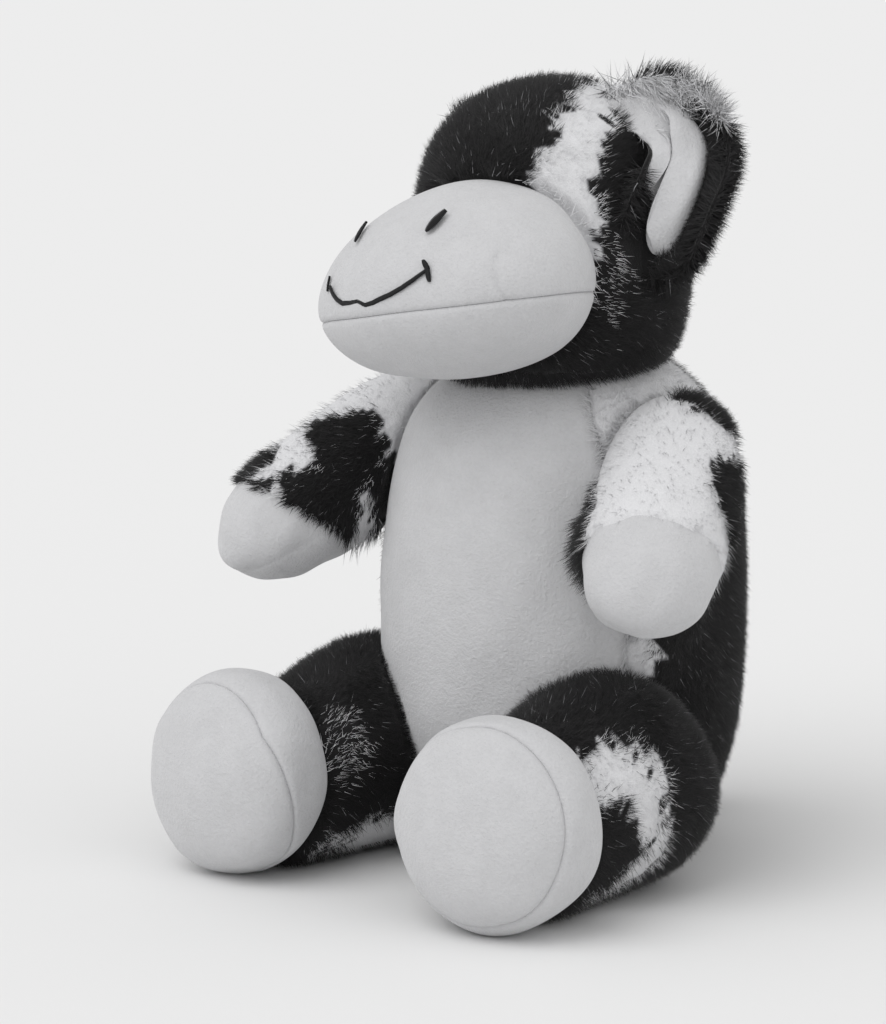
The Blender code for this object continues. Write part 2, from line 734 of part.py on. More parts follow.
def build_legs():
    """Each leg is a fur sleeve that opens into a foot with a flat sole, over one stuffing."""
    for side, word in ((1, "left"), (-1, "right")):
        wide, ahead = HIP_SHARES
        level = LEG_RADIUS - FLAT_CUT - SMOOTHING_LOSS
        hip = Vector((side * wide * TORSO_HALF_WIDTH, ahead * TORSO_HALF_DEPTH, level))
        splay = math.radians(LEG_SPLAY)
        forward = Vector((side * math.sin(splay), -math.cos(splay), 0))
        rings = []
        for along, wide, tall in LEG_SHARES:
            lowered = LEG_RADIUS * (1 - tall) if tall else 0
            rings.append((along * LEG_LENGTH, wide * LEG_RADIUS, tall * LEG_RADIUS, 0, lowered))
        leg_form = Form(rings, LEG_SIDES, frame_along(hip, forward), hip)
        ankle = hip + forward * LEG_LENGTH
        foot_level = FOOT_HALF_HEIGHT * math.cos(math.radians(FOOT_LEAN)) - FLAT_CUT - SMOOTHING_LOSS
        foot_centre = Vector((ankle.x, ankle.y, foot_level))
        lean = Matrix.Rotation(math.radians(FOOT_LEAN), 4, "X")
        foot_place = frame_along(foot_centre, forward) @ lean
        foot_form = Form(sections(FOOT_SHARES, FOOT_HALF_THICKNESS, FOOT_HALF_WIDTH, FOOT_HALF_HEIGHT),
                         FOOT_SIDES, foot_place, hip)
        leg_inside = leg_form.cutter(f"leg_{word}_inside", FUR_WALL)
        foot_outside = foot_form.cutter(f"foot_{word}_outside", -SEAM_GAP)
        foot_inside = foot_form.cutter(f"foot_{word}_inside", FUR_WALL)
        seats = limb_seats(f"leg_{word}", hip, "X", (-LEG_LOW, -(LEG_LOW + LEG_HIGH) / 2, -LEG_HIGH))
        edge = SOLE_EDGE_SHARE * FOOT_HALF_THICKNESS
        reach = FOOT_HALF_HEIGHT + CUT_OVERRUN
        low = (-reach, -reach, edge)
        high = (reach, reach, edge + SEAM_GAP)
        ahead_of_edge = block(f"foot_{word}_front", low, (reach, reach, reach), foot_place)
        behind_edge = block(f"foot_{word}_rear", (-reach, -reach, -reach), high, foot_place)
        sleeve = leg_form.part(f"leg_{word}_sleeve", 0, FUR_BLACK)
        fit_to(cut(sleeve, leg_inside, foot_outside, under_floor), *seats)
        upper = foot_form.part(f"foot_{word}_upper", PLUSH_RECESS, SHORT_PILE)
        cut(upper, foot_inside, leg_inside, ahead_of_edge, under_floor)
        sole = foot_form.part(f"foot_{word}_sole", PLUSH_RECESS, SHORT_PILE)
        cut(sole, foot_inside, behind_edge, under_floor)
        stuffing = leg_form.part(f"leg_{word}_stuffing", FUR_WALL + STUFFING_GAP, FIBRE)
        fit_to(stuffing, *seats)
        combine(stuffing, foot_form.cutter(f"foot_{word}_filling", FUR_WALL + STUFFING_GAP), "UNION")


def build_tail():
    """A fur cord that hangs down the back and ends in a tuft."""
    behind = torso_back(TAIL_ROOT_HEIGHT) + TAIL_RADIUS - SEAM_GAP
    root = Vector((0, behind, TAIL_ROOT_HEIGHT))
    drop = TAIL_ROOT_HEIGHT - TUFT_LENGTH - SEAM_GAP - FLAT_CUT
    points = []
    for step in range(TAIL_POINTS):
        share = step / (TAIL_POINTS - 1)
        bow = TAIL_BOW * math.sin(math.pi / 2 * share)
        points.append(root + Vector((0, bow, -drop * share)))
    thread("tail", points, TAIL_RADIUS, False, root, FUR_WHITE)
    top = points[-1] - Z_AXIS * SEAM_GAP
    place = Matrix.Translation(top) @ Matrix.Rotation(math.pi, 4, "X")
    rings = []
    for along, full in TUFT_SHARES:
        width = full * TUFT_RADIUS
        rings.append((along * TUFT_LENGTH, width, width, 0, 0))
    Form(rings, TAIL_SIDES, place, root).part("tail_tuft", 0, FUR_BLACK)


build_torso()
build_closing_seam()
build_neck_seam()
build_head()
build_embroidery()
build_ears()
build_arms()
build_legs()
build_tail()
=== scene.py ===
"""The seated plush cow as it looks: fur, short pile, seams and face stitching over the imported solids.

Every skin is a numpy surface that repeats the sizes of the solids, so each piece sits where its solid is.
Fur is closed three-sided hairs rooted just under the surface of the solids.
"""

import math

import bpy
import numpy as np
from mathutils import Matrix, Vector


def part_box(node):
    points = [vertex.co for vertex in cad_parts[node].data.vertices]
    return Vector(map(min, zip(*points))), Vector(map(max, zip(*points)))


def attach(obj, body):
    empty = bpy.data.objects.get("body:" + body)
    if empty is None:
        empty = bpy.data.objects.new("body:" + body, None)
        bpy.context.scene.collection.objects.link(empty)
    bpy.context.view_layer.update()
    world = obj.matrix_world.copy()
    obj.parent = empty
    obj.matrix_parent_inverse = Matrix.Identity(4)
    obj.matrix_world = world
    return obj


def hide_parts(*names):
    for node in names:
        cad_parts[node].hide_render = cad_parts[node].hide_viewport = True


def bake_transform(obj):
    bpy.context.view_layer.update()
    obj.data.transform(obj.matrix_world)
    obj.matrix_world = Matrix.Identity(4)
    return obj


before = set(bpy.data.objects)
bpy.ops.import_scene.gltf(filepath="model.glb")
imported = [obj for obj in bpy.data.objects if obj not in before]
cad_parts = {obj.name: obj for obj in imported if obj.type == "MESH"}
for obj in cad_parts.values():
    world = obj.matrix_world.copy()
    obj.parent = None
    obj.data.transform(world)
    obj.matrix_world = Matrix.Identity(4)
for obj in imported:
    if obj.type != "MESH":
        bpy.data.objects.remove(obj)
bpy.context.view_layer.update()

MM = 0.001
UP = np.array((0.0, 0.0, 1.0))
SIDES = ((1, "left"), (-1, "right"))

# How deep each cloth lies under the surface of its solid, and the steps of the grids
FUR_DEPTH = 2.0 * MM
BACKING_DEPTH = 0.9 * MM
PILE_DEPTH = 1.0 * MM
HOOF_DEPTH = 1.8 * MM
SKIN_STEP = 3.5 * MM
FINE_STEP = 1.2 * MM
FACE_STEP = 0.8 * MM
BACKING_STEP = 2.4 * MM
SEAM_GAP = 0.015

# Rows of each soft form: height, half width, half depth, place aside and place ahead
TORSO_HEIGHT = 158 * MM
TORSO_WIDE = 56 * MM
TORSO_DEEP = 58 * MM
TORSO_ROWS = (
    (1.015, 0, 0, 0, 0),
    (0.995, 0.42, 0.42, 0, 0),
    (0.935, 0.72, 0.71, 0, 0),
    (0.82, 0.93, 0.92, 0, 0),
    (0.65, 1.01, 1.01, 0, -0.01),
    (0.46, 1.02, 1.03, 0, -0.02),
    (0.27, 1.00, 1.01, 0, -0.02),
    (0.12, 0.90, 0.90, 0, -0.01),
    (0.012, 0.66, 0.66, 0, 0),
    (-0.008, 0, 0, 0, 0),
)
HEAD_ROWS = (
    (0.90, 0, 0, 0.12, 0),
    (0.80, 0.50, 0.54, 0.10, 0),
    (0.54, 0.84, 0.87, 0.05, 0),
    (0.16, 1.00, 1.02, 0, 0),
    (-0.28, 1.00, 1.00, 0, 0),
    (-0.68, 0.92, 0.92, 0, -0.05),
    (-0.97, 0.84, 0.82, 0, -0.12),
    (-1.12, 0, 0, 0, -0.14),
)
MUZZLE_ROWS = (
    (1.10, 0, 0, 0, 0.26),
    (0.95, 0.52, 0.50, 0, 0.22),
    (0.52, 0.88, 0.86, 0, 0.12),
    (-0.02, 1.04, 1.03, 0, 0.01),
    (-0.52, 0.97, 0.96, 0, 0),
    (-0.92, 0.62, 0.62, 0, 0.04),
    (-1.06, 0, 0, 0, 0.06),
)
FOOT_ROWS = (
    (1.06, 0, 0, 0, 0),
    (0.98, 0.54, 0.54, 0, 0),
    (0.62, 0.95, 0.95, 0, 0),
    (-0.06, 1.07, 1.07, 0, 0),
    (-0.76, 0.88, 0.88, 0, 0),
    (-1.04, 0, 0, 0, 0),
)
ARM_ROWS = ((1.02, 0), (0.96, 0.62), (0.82, 1.0), (0.60, 1.03), (0.30, 1.02), (-0.02, 0.95), (-0.24, 0))
LEG_ROWS = (
    (1.05, 0, 0),
    (0.94, 0.70, 0.70),
    (0.68, 0.95, 0.95),
    (0.34, 1.07, 1.10),
    (-0.06, 1.14, 1.24),
    (-0.46, 0.86, 1.04),
    (-0.62, 0, 0),
)
TUFT_ROWS = ((1.0, 0), (0.82, 0.62), (0.48, 1.0), (0.16, 0.72), (-0.08, 0))
MOUTH_HEIGHT = -9 * MM
SOLE_EDGE = 10.5 * MM
ARM_LENGTH = 84 * MM
ARM_RADIUS = 22.5 * MM
WRIST = 0.64 * ARM_LENGTH
LEG_LENGTH = 56 * MM
LEG_RADIUS = 28.5 * MM
FOOT_RADIUS = 32.5 * MM
FOOT_TILT = 7
EAR_LENGTH = 65 * MM
EAR_ROLL = 11.5 * MM
NOD = math.radians(10)
TAIL_ROOT = 62 * MM
TUFT_LENGTH = 26 * MM
BELLY_TOP = 165 * MM
BELLY_FOOT = 10 * MM
BELLY_WIDE = 49 * MM
BELLY_TAPER = 0.08
BELLY_TURN = 156.5 * MM


def blend_weights(share):
    """Weights of four neighbouring rows in a uniform cubic B-spline, and their slopes."""
    rest = 1 - share
    weights = np.stack((
        rest**3,
        3 * share**3 - 6 * share**2 + 4,
        -3 * share**3 + 3 * share**2 + 3 * share + 1,
        share**3,
    )) / 6
    slopes = np.stack((-rest**2, 3 * share**2 - 4 * share, -3 * share**2 + 2 * share + 1, share**2)) / 2
    return weights, slopes


def along_rows(table, place):
    """Rows of a table blended by the B-spline; place 0 is the table's second row."""
    first = np.clip(np.floor(place).astype(int), 0, len(table) - 4)
    weights, _ = blend_weights(place - first)
    return sum(weights[k][:, None] * table[first + k] for k in range(4))


def unit(vectors):
    """Each vector at length 1."""
    return vectors / np.maximum(np.linalg.norm(vectors, axis=-1, keepdims=True), 1e-12)


def flattened(vectors, normal):
    """Vectors without their part along the normal."""
    return vectors - normal * (vectors * normal).sum(-1, keepdims=True)


def value_at(value, points):
    """A number as it is, or a function's values at the points."""
    return value(points) if callable(value) else value


def ease(value):
    """0 to 1 with no kink at either end."""
    share = np.clip(value, 0, 1)
    return share * share * (3 - 2 * share)


def quarter_round(along, start, end, depth=1.0):
    """1 up to start, then down to the root of 1 - depth at end, along a quarter of an ellipse."""
    share = np.clip((along - start) / (end - start), 0, 1)
    return np.sqrt(np.maximum(1 - depth * share**2, 0))


def ripple(points, size, seed):
    """Smooth noise of about -1 to 1: eight sine waves of about one size, added in drawn directions."""
    draw = np.random.default_rng(seed)
    waves = unit(draw.normal(size=(8, 3))) * math.tau / size * draw.uniform(0.7, 1.5, (8, 1))
    return np.sin(points @ waves.T + draw.uniform(0, math.tau, 8)).sum(-1) / math.sqrt(8)


class Skin:
    """A closed soft surface: the bicubic B-spline of a grid whose rows run from pole to pole.

    Columns run round it. Past a pole the rows go on down the far side, half a turn on.
    """

    def __init__(self, grid, place=None, rows=None):
        self.grid = grid
        self.place = place
        self.rows = rows
        half = grid.shape[1] // 2
        self.wide_grid = np.concatenate((np.roll(grid[1:2], half, 1), grid, np.roll(grid[-2:-1], half, 1)))

    def at(self, row, column):
        """Point and outward normal at fractional rows and columns."""
        last = self.grid.shape[0] - 1
        point = self._sum(row, column)[0]
        inner = np.clip(row, 0.06, last - 0.06)
        _, down, around = self._sum(inner, column)
        return point, unit(np.cross(down, around))

    def _sum(self, row, column):
        """Point and both slopes: sums of the sixteen grid points round each place, by their weights."""
        count = self.grid.shape[1]
        first = np.clip(np.floor(row).astype(int), 0, self.grid.shape[0] - 2)
        left = np.floor(column).astype(int)
        down, down_slope = blend_weights(row - first)
        across, across_slope = blend_weights(column - left)
        sums = (0, 0, 0)
        for i in range(4):
            for j in range(4):
                cell = self.wide_grid[first + i, (left + j - 1) % count]
                weights = (down[i] * across[j], down_slope[i] * across[j], down[i] * across_slope[j])
                sums = [total + weight[:, None] * cell for total, weight in zip(sums, weights)]
        return sums

    def local(self, points):
        """Points in the frame of the form's own axis."""
        turn = self.place[:3, :3]
        return (points - self.place[:3, 3]) @ turn

    def form_at(self, height):
        """Half width, half depth, place aside and place ahead at heights along the form's axis."""
        return [np.interp(height, self.rows[::-1, 0], self.rows[::-1, k]) for k in range(1, 5)]

    def row_at(self, height):
        """Row where the form's own height is as given."""
        return np.interp(height, self.rows[::-1, 0], np.arange(len(self.rows))[::-1])

    def outside(self, points):
        """About how far each point lies outside the form; negative inside."""
        spot = self.local(points)
        level = np.clip(spot[:, 2], self.rows[-1, 0], self.rows[0, 0])
        wide, deep, aside, ahead = self.form_at(level)
        wide = np.maximum(wide, 1e-5)
        deep = np.maximum(deep, 1e-5)
        ratio = np.hypot((spot[:, 0] - aside) / wide, (spot[:, 1] - ahead) / deep)
        side = (ratio - 1) * np.minimum(wide, deep)
        beyond = np.abs(spot[:, 2] - level)
        return np.where(beyond > 0, np.hypot(np.maximum(side, 0), beyond), side)

    def front(self, across, up):
        """Row and column of the surface that faces -Y of the form's axis, at a place across and up."""
        wide, _, aside, _ = self.form_at(up)
        turn = -np.arccos(np.clip((across - aside) / wide, -1, 1))
        return self.row_at(up), turn / math.tau * self.grid.shape[1]


def soft_form(table, sides, place):
    """Skin of a subdivided cage: its rows blended by the B-spline, and each ring nearly an ellipse."""
    table = np.array(table, float)
    mirror = np.array((1, -1, -1, 1, 1))
    table = np.concatenate((table[1:2] * mirror, table, table[-2:-1] * mirror))
    turn = math.cos(math.tau / sides)
    table[:, 1:3] *= (8 + 4 * turn) / (9 + 3 * turn)
    place_along = np.linspace(0, len(table) - 3, 800)
    profile = along_rows(table, place_along)
    radius = (profile[:, 1] + profile[:, 2]) / 2
    length = np.concatenate(((0,), np.cumsum(np.hypot(np.diff(profile[:, 0]), np.diff(radius)))))
    count = round(length[-1] / SKIN_STEP) + 1
    rows = along_rows(table, np.interp(np.linspace(0, length[-1], count), length, place_along))
    rows[(0, -1), 1:3] = 0
    columns = 2 * round(math.pi * radius.max() / SKIN_STEP)
    turns = np.arange(columns) * math.tau / columns
    spots = np.stack((
        rows[:, 3:4] + rows[:, 1:2] * np.cos(turns),
        rows[:, 4:5] + rows[:, 2:3] * np.sin(turns),
        rows[:, 0:1] + 0 * turns,
    ), -1)
    place = np.array(place)
    return Skin(spots @ place[:3, :3].T + place[:3, 3], place, rows)


def share_rows(shares, height, half_width, half_depth):
    """A table of shares times the sizes of a form."""
    return [
        (up * height, wide * half_width, deep * half_depth, aside * half_width, ahead * half_depth)
        for up, wide, deep, aside, ahead in shares
    ]


def frame_along(start, direction):
    """A place whose Z runs along direction and whose X is level."""
    z = direction.normalized()
    x = z.cross(Vector((0, 0, 1))).normalized()
    y = z.cross(x)
    return Matrix.Translation(start) @ Matrix((x, y, z)).transposed().to_4x4()


def turn_about(degrees, axis):
    """A turn about a named axis."""
    return Matrix.Rotation(math.radians(degrees), 4, axis)


torso = soft_form(share_rows(TORSO_ROWS, TORSO_HEIGHT, TORSO_WIDE, TORSO_DEEP), 10, Matrix.Identity(4))
head_turn = turn_about(-4.5, "Z") @ turn_about(-9, "Y")
head_place = Matrix.Translation(Vector((0, -6, 194)) * MM) @ head_turn
head = soft_form(share_rows(HEAD_ROWS, 49.5 * MM, 43 * MM, 41 * MM), 10, head_place)
muzzle_place = head_place @ Matrix.Translation(Vector((0, -46, -14)) * MM)
muzzle = soft_form(share_rows(MUZZLE_ROWS, 29 * MM, 47 * MM, 37 * MM), 10, muzzle_place)

arms = {}
legs = {}
feet = {}
arm_lines = {}
leg_lines = {}
for side, word in SIDES:
    shoulder = Vector((side * 0.86 * TORSO_WIDE, -0.10 * TORSO_DEEP, 0.835 * TORSO_HEIGHT))
    out = math.radians(27)
    down = math.radians(32)
    level = math.cos(down)
    arm_way = Vector((side * math.sin(out) * level, -math.cos(out) * level, -math.sin(down)))
    arm_rows = []
    for along, full in ARM_ROWS:
        thinner = max(0, min(1, (along - 0.5) / 0.5)) * MM
        wide = full * (ARM_RADIUS - thinner)
        deep = full * (ARM_RADIUS - 5.5 * thinner)
        arm_rows.append((along * ARM_LENGTH, wide, deep, 0, 0))
    arms[word] = soft_form(arm_rows, 8, frame_along(shoulder, arm_way))
    arm_lines[word] = (shoulder, arm_way)
    hip = Vector((side * 0.78 * TORSO_WIDE, -0.66 * TORSO_DEEP, 27.3 * MM))
    splay = math.radians(7)
    leg_way = Vector((side * math.sin(splay), -math.cos(splay), 0))
    leg_rows = []
    for along, wide, tall in LEG_ROWS:
        lowered = LEG_RADIUS * (1 - tall) if tall else 0
        leg_rows.append((along * LEG_LENGTH, wide * LEG_RADIUS, tall * LEG_RADIUS, 0, lowered))
    legs[word] = soft_form(leg_rows, 8, frame_along(hip, leg_way))
    leg_lines[word] = (hip, leg_way)
    ankle = hip + leg_way * LEG_LENGTH
    foot_centre = Vector((ankle.x, ankle.y, FOOT_RADIUS * math.cos(math.radians(FOOT_TILT)) - 1.2 * MM))
    foot_place = frame_along(foot_centre, leg_way) @ turn_about(FOOT_TILT, "X")
    feet[word] = soft_form(share_rows(FOOT_ROWS, 21 * MM, FOOT_RADIUS, FOOT_RADIUS), 8, foot_place)


def stuffed_fuller(skin, centre, reach, depth):
    """A skin pushed outwards by depth at a centre, fading as a bell over its reach."""
    rows, columns, _ = skin.grid.shape
    row, column = np.mgrid[0:rows, 0:columns]
    point, normal = skin.at(row.ravel().astype(float), column.ravel().astype(float))
    gap = np.linalg.norm(point - np.array(centre) * MM, axis=1)
    push = normal * (depth * np.exp(-((gap / reach) ** 2)))[:, None]
    return Skin(skin.grid + push.reshape(rows, columns, 3), skin.place, skin.rows)


# Forms of the ears


def ear_sheet(along, across, side, place):
    """A leaf rolled lengthwise into a trough, on a spine that leaves the head level and bends down.

    Half the leaf's width grows as a sine from the root to 0.6 of its length, then rounds off.
    """
    grown = np.sin(math.pi / 2 * np.clip(along / 0.6, 0, 1))
    half_width = 20 * MM * (0.45 + 0.55 * grown) * quarter_round(along, 0.6, 1.0, 0.985**2)
    steps = np.linspace(-0.2, 1, 241)
    droop = np.radians(118 * np.clip(steps / 0.5, 0, 1))
    gap = (steps[1] - steps[0]) * EAR_LENGTH
    start = np.searchsorted(steps, 0.0)
    out, drop = (np.append(0, np.cumsum(gap * wave(droop[:-1]))) for wave in (np.cos, np.sin))
    out = np.interp(along, steps, out - out[start])
    drop = np.interp(along, steps, drop - drop[start])
    lean = np.interp(along, steps, droop)
    roll = across * half_width / EAR_ROLL
    over = EAR_ROLL * np.sin(roll)
    ahead = EAR_ROLL * (1 - np.cos(roll))
    local = np.stack((side * (out + over * np.sin(lean)), -ahead, -drop + over * np.cos(lean)), -1)
    return local @ place[:3, :3].T + place[:3, 3]


def ear_skin(side, place, reach, base, thick, slide=0.0, end=0.995):
    """A closed pad on the ear's sheet: each row goes round the sheet's section, over its front and back.

    reach is how far it goes across, base its height over the sheet, and thick its depth as a function of
    the shares along and across. slide moves its open side towards the head, and end is where it stops.
    """
    rows = 34
    columns = 60
    along = np.linspace(-0.14, end, rows)[:, None] + np.zeros(columns)
    turn = np.arange(columns) * math.tau / columns + np.zeros((rows, 1))
    across = (reach[0] + reach[1]) / 2 + np.cos(turn) * (reach[1] - reach[0]) / 2
    if slide:
        inner = across * (0.35 + 0.65 * quarter_round(along, 0.36, 0.66, 0.985))
        outer = across * (0.66 + 0.34 * ease((along - 0.22) / 0.3))
        across = np.where(across < 0, inner, outer) * quarter_round(along, 0.68, end, 0.985)

    def sheet_at(further=0.0, share=1.0, aside=0.0):
        return ear_sheet(along.ravel() + further, across.ravel() * share + aside, side, place)

    step = 1e-3
    sheet = sheet_at()
    normal = unit(np.cross(sheet_at(further=step) - sheet, sheet_at(aside=step) - sheet)) * side
    depth = thick(along, across) * quarter_round(along, end - 0.095, end)
    face = 0.5 + 0.5 * np.sign(np.sin(turn)) * np.abs(np.sin(turn)) ** 0.6
    grid = sheet + normal * (base + face * depth).ravel()[:, None]
    spine = sheet_at(share=0.0)
    over_way = unit(sheet_at(share=0.0, aside=step) - spine)
    over = ((grid - spine) * over_way).sum(-1)
    ahead = -(grid - spine) @ place[:3, 1]
    shift = slide * np.clip(1 - (over / (13 * MM)) ** 2, 0, 1) * ease((ahead - 3 * MM) / (7 * MM))
    grid = (grid - over_way * shift[:, None]).reshape(rows, columns, 3)
    grid[0] = grid[0].mean(0)
    grid[-1] = grid[-1].mean(0)
    return Skin(grid)


def lobes(along, across):
    """Depth of the lining: two plump lobes that meet in a slit, the one by the head much the shorter."""
    outer = ease((across - 0.02) / 0.42) * ease((along - 0.08) / 0.3)
    outer = outer * quarter_round(along, 0.66, 0.94)
    inner = ease((-across - 0.02) / 0.42) * ease((along - 0.05) / 0.25) * (1 - ease((along - 0.5) / 0.28))
    return (3.0 + 7.2 * np.maximum(outer, inner)) * MM


def make_ear(side, facing, lean):
    """The skins of an ear's furred back and of its lining, and its place and root."""
    root = head_place @ Vector((side * 33 * MM, 4 * MM, 29 * MM))
    turned = head_turn @ turn_about(side * facing, "Z") @ turn_about(-lean, "X")
    place = np.array(Matrix.Translation(root) @ turned)
    back = ear_skin(side, place, (-0.98, 0.98), -1.5 * MM, lambda along, across: 3.0 * MM)
    lining = ear_skin(side, place, (-1.05, 0.9), 1.7 * MM, lobes, slide=5.5 * MM, end=0.89)
    if side > 0:
        back = Skin(back.grid[:, ::-1])
        lining = Skin(lining.grid[:, ::-1])
    knob = place @ (side * 12 * MM, 3 * MM, 7 * MM, 1)
    back = stuffed_fuller(back, knob[:3] / MM, 9 * MM, 3.6 * MM)
    return place, root, back, lining


ears = {"left": make_ear(1, 40, 14), "right": make_ear(-1, 72, 3)}

# Meshes


def new_piece(name, points, faces, material, smooth=True):
    """A mesh object from an array of points and arrays of faces with one corner count each."""
    mesh = bpy.data.meshes.new(name)
    mesh.vertices.add(len(points))
    mesh.vertices.foreach_set("co", np.ascontiguousarray(points, np.float32).ravel())
    corners = np.concatenate([block.ravel() for block in faces]).astype(np.int32)
    counts = np.concatenate([np.full(len(block), block.shape[1]) for block in faces])
    starts = np.concatenate(((0,), np.cumsum(counts)[:-1])).astype(np.int32)
    mesh.loops.add(len(corners))
    mesh.loops.foreach_set("vertex_index", corners)
    mesh.polygons.add(len(starts))
    mesh.polygons.foreach_set("loop_start", starts)
    mesh.update(calc_edges=True)
    mesh.polygons.foreach_set("use_smooth", np.full(len(starts), smooth))
    mesh.materials.append(material)
    body = bpy.data.objects.new(name, mesh)
    bpy.context.scene.collection.objects.link(body)
    return body


def closed_faces(rows, columns):
    """Faces of a surface with a pole before its first ring and one after its last ring.

    Point 0 is the first pole, then come the rings in order, then the last pole.
    """
    ring = np.arange(columns)
    after = (ring + 1) % columns
    top = np.stack((np.zeros(columns, int), 1 + ring, 1 + after), -1)
    last = 1 + (rows - 1) * columns
    bottom = np.stack((np.full(columns, 1 + rows * columns), last + after, last + ring), -1)
    start = 1 + np.arange(rows - 1)[:, None] * columns
    quads = np.stack((start + ring, start + columns + ring, start + columns + after, start + after), -1)
    return [top, bottom, quads.reshape(-1, 4)]


def closed_piece(name, rings, material):
    """A closed mesh from an array of rings whose first and last ring have shrunk to points."""
    rows, columns, _ = rings.shape
    points = np.concatenate((rings[0, :1], rings[1:-1].reshape(-1, 3), rings[-1, :1]))
    points[:, 2] = np.maximum(points[:, 2], 0.0)
    return new_piece(name, points, closed_faces(rows - 2, columns), material)


def points_of(body):
    """The points of a piece's mesh."""
    spots = np.empty(len(body.data.vertices) * 3, np.float32)
    body.data.vertices.foreach_get("co", spots)
    return spots.reshape(-1, 3).astype(float)


def face_outwards(body):
    """Turns a closed mesh's faces round where the volume they enclose comes out negative."""
    mesh = body.data
    mesh.calc_loop_triangles()
    corners = np.empty(len(mesh.loop_triangles) * 3, np.int32)
    mesh.loop_triangles.foreach_get("vertices", corners)
    a, b, c = points_of(body)[corners.reshape(-1, 3)].transpose(1, 0, 2)
    if (a * np.cross(b, c)).sum() < 0:
        mesh.flip_normals()


def skin_rings(skin, first, last, step, sink):
    """Rings of a skin between two rows, moved inwards by sink, a function of the point.

    A row may be a function of the turn, so that a seam runs aslant.
    """
    columns = round(skin.grid.shape[1] * SKIN_STEP / step)
    turns = np.arange(columns) * math.tau / columns
    first, last = (np.broadcast_to(value_at(row, turns), columns) for row in (first, last))
    rows = max(4, round((last - first).max() * SKIN_STEP / step))
    share = np.linspace(0, 1, rows + 1)[:, None]
    row = (first + (last - first) * share).ravel()
    column = np.tile(turns / math.tau * skin.grid.shape[1], rows + 1)
    point, normal = skin.at(row, column)
    point = point - normal * np.broadcast_to(value_at(sink, point), len(point))[:, None]
    return point.reshape(rows + 1, columns, 3)


def cut_pile(name, rings, steps=6, first=False):
    """A closed piece of pile: rings with the cut at their end closed straight across.

    With first, the cut is at their start instead.
    """
    ring = rings[0 if first else -1]
    share = np.linspace(0, 1, steps + 1)[1:, None, None]
    cap = ring * (1 - share) + ring.mean(0) * share
    return closed_piece(name, np.concatenate((cap[::-1], rings) if first else (rings, cap)), PILE)


def seam_dip(distance, width, depth):
    """How far cloth turns in towards a seam: a quarter round of the given width, scaled to depth."""
    share = np.clip(1 - distance / width, 0, 1)
    return depth * (1 - np.sqrt(1 - share**2))


# Colour of the fur: cow patches, each a ball stretched along the axes


def patch_tone(points, ground, patches, fray, seed, drawn):
    """1 where the fur is white and 0 where it is black; either one, drawn hair by hair, in a mixed patch.

    A later patch covers an earlier one. Its edge is moved by smooth noise, and hair by hair by fray.
    Without drawn, a mixed patch is dark throughout.
    """
    draw = np.random.default_rng(seed)
    tone = np.full(len(points), float(ground))
    wander = ripple(points, 22 * MM, 5) * 1.6 * MM + ripple(points, 7 * MM, 6) * 0.9 * MM
    wander = wander + draw.normal(size=len(points)) * fray
    for colour, centre, radii in patches:
        radii = np.array(radii) * MM
        share = np.linalg.norm((points - np.array(centre) * MM) / radii, axis=1)
        depth = (1 - share) * radii.min() + wander
        tone[depth > 0] = colour
    mixed = tone == 0.5
    tone[mixed] = draw.random(mixed.sum()) < 0.5 if drawn else 0.15
    return tone


HEAD_PATCHES = (
    (1, (25, 6, 238), (19, 25, 12)),
    (1, (19, 10, 238), (18, 18, 12)),
    (1, (23, -16, 233), (9, 9, 9)),
    (1, (26, -25, 225), (9, 9, 8)),
    (1, (27, -31, 213), (12, 11, 10)),
    (1, (28, -34, 201), (12, 11, 11)),
    (1, (22, -42, 205), (8, 9, 8)),
    (1, (31, -35, 190), (9, 8, 10)),
    (1, (34, -35, 181), (6, 6, 6)),
    (1, (-15, 32, 205), (19, 16, 19)),
    (1, (1, 38, 190), (15, 12, 12)),
    (0, (43, -19, 212), (12, 14, 16)),
    (0, (47, -19, 190), (11, 16, 18)),
    (0.5, (38.5, -25, 188), (3, 5, 13)),
)
TORSO_PATCHES = (
    (1, (40, -4, 146), (36, 44, 28)),
    (1, (-44, -16, 146), (24, 34, 24)),
    (1, (-37, 42, 78), (19, 22, 19)),
    (1, (-24, 50, 57), (17, 16, 17)),
    (1, (-50, 24, 88), (12, 14, 10)),
    (0, (62, 30, 116), (24, 22, 34)),
    (1, (-44, -34, 66), (12, 16, 12)),
    (1, (47, -32, 68), (10, 12, 16)),
)
ARM_PATCHES = {
    "left": (
        (0, (86, -12, 124), (12, 24, 16)),
        (0, (64, 1, 146), (14, 17, 11)),
        (0, (62, -34, 80), (36, 38, 14)),
        (0, (44, -46, 104), (10, 26, 17)),
    ),
    "right": (
        (0, (-52, -44, 124), (14, 11, 14)),
        (0, (-53, -53, 106), (13.5, 14, 16)),
        (0, (-50, -33, 110), (14, 13, 13)),
        (0, (-82, -58, 118), (11, 10, 9)),
        (0, (-70, -64, 112), (6, 4, 5)),
    ),
}
LEG_PATCHES = {
    "left": (
        (1, (68, -62, 26), (18, 19, 27)),
        (0, (74, -74, 22), (14, 12, 16)),
        (0, (76, -62, 21), (8, 9, 5)),
    ),
    "right": (
        (0.5, (-26, -76, 40), (7, 7, 14)),
        (1, (-22, -62, 4), (14, 24, 12)),
        (1, (-66, -30, 44), (14, 18, 14)),
        (1, (-70, -46, 34), (8, 12, 9)),
    ),
}
EAR_PATCHES = {
    "left": (
        (1, (32, -9, 232), (12, 8, 10)),
        (1, (38, -8, 234), (12, 8, 9)),
        (1, (49, -4, 232), (12, 8, 9)),
        (1, (57, 1, 231), (10, 9, 8)),
    ),
    "right": ((1, (-50, -4, 208), (14, 14, 14)),),
}


# Materials


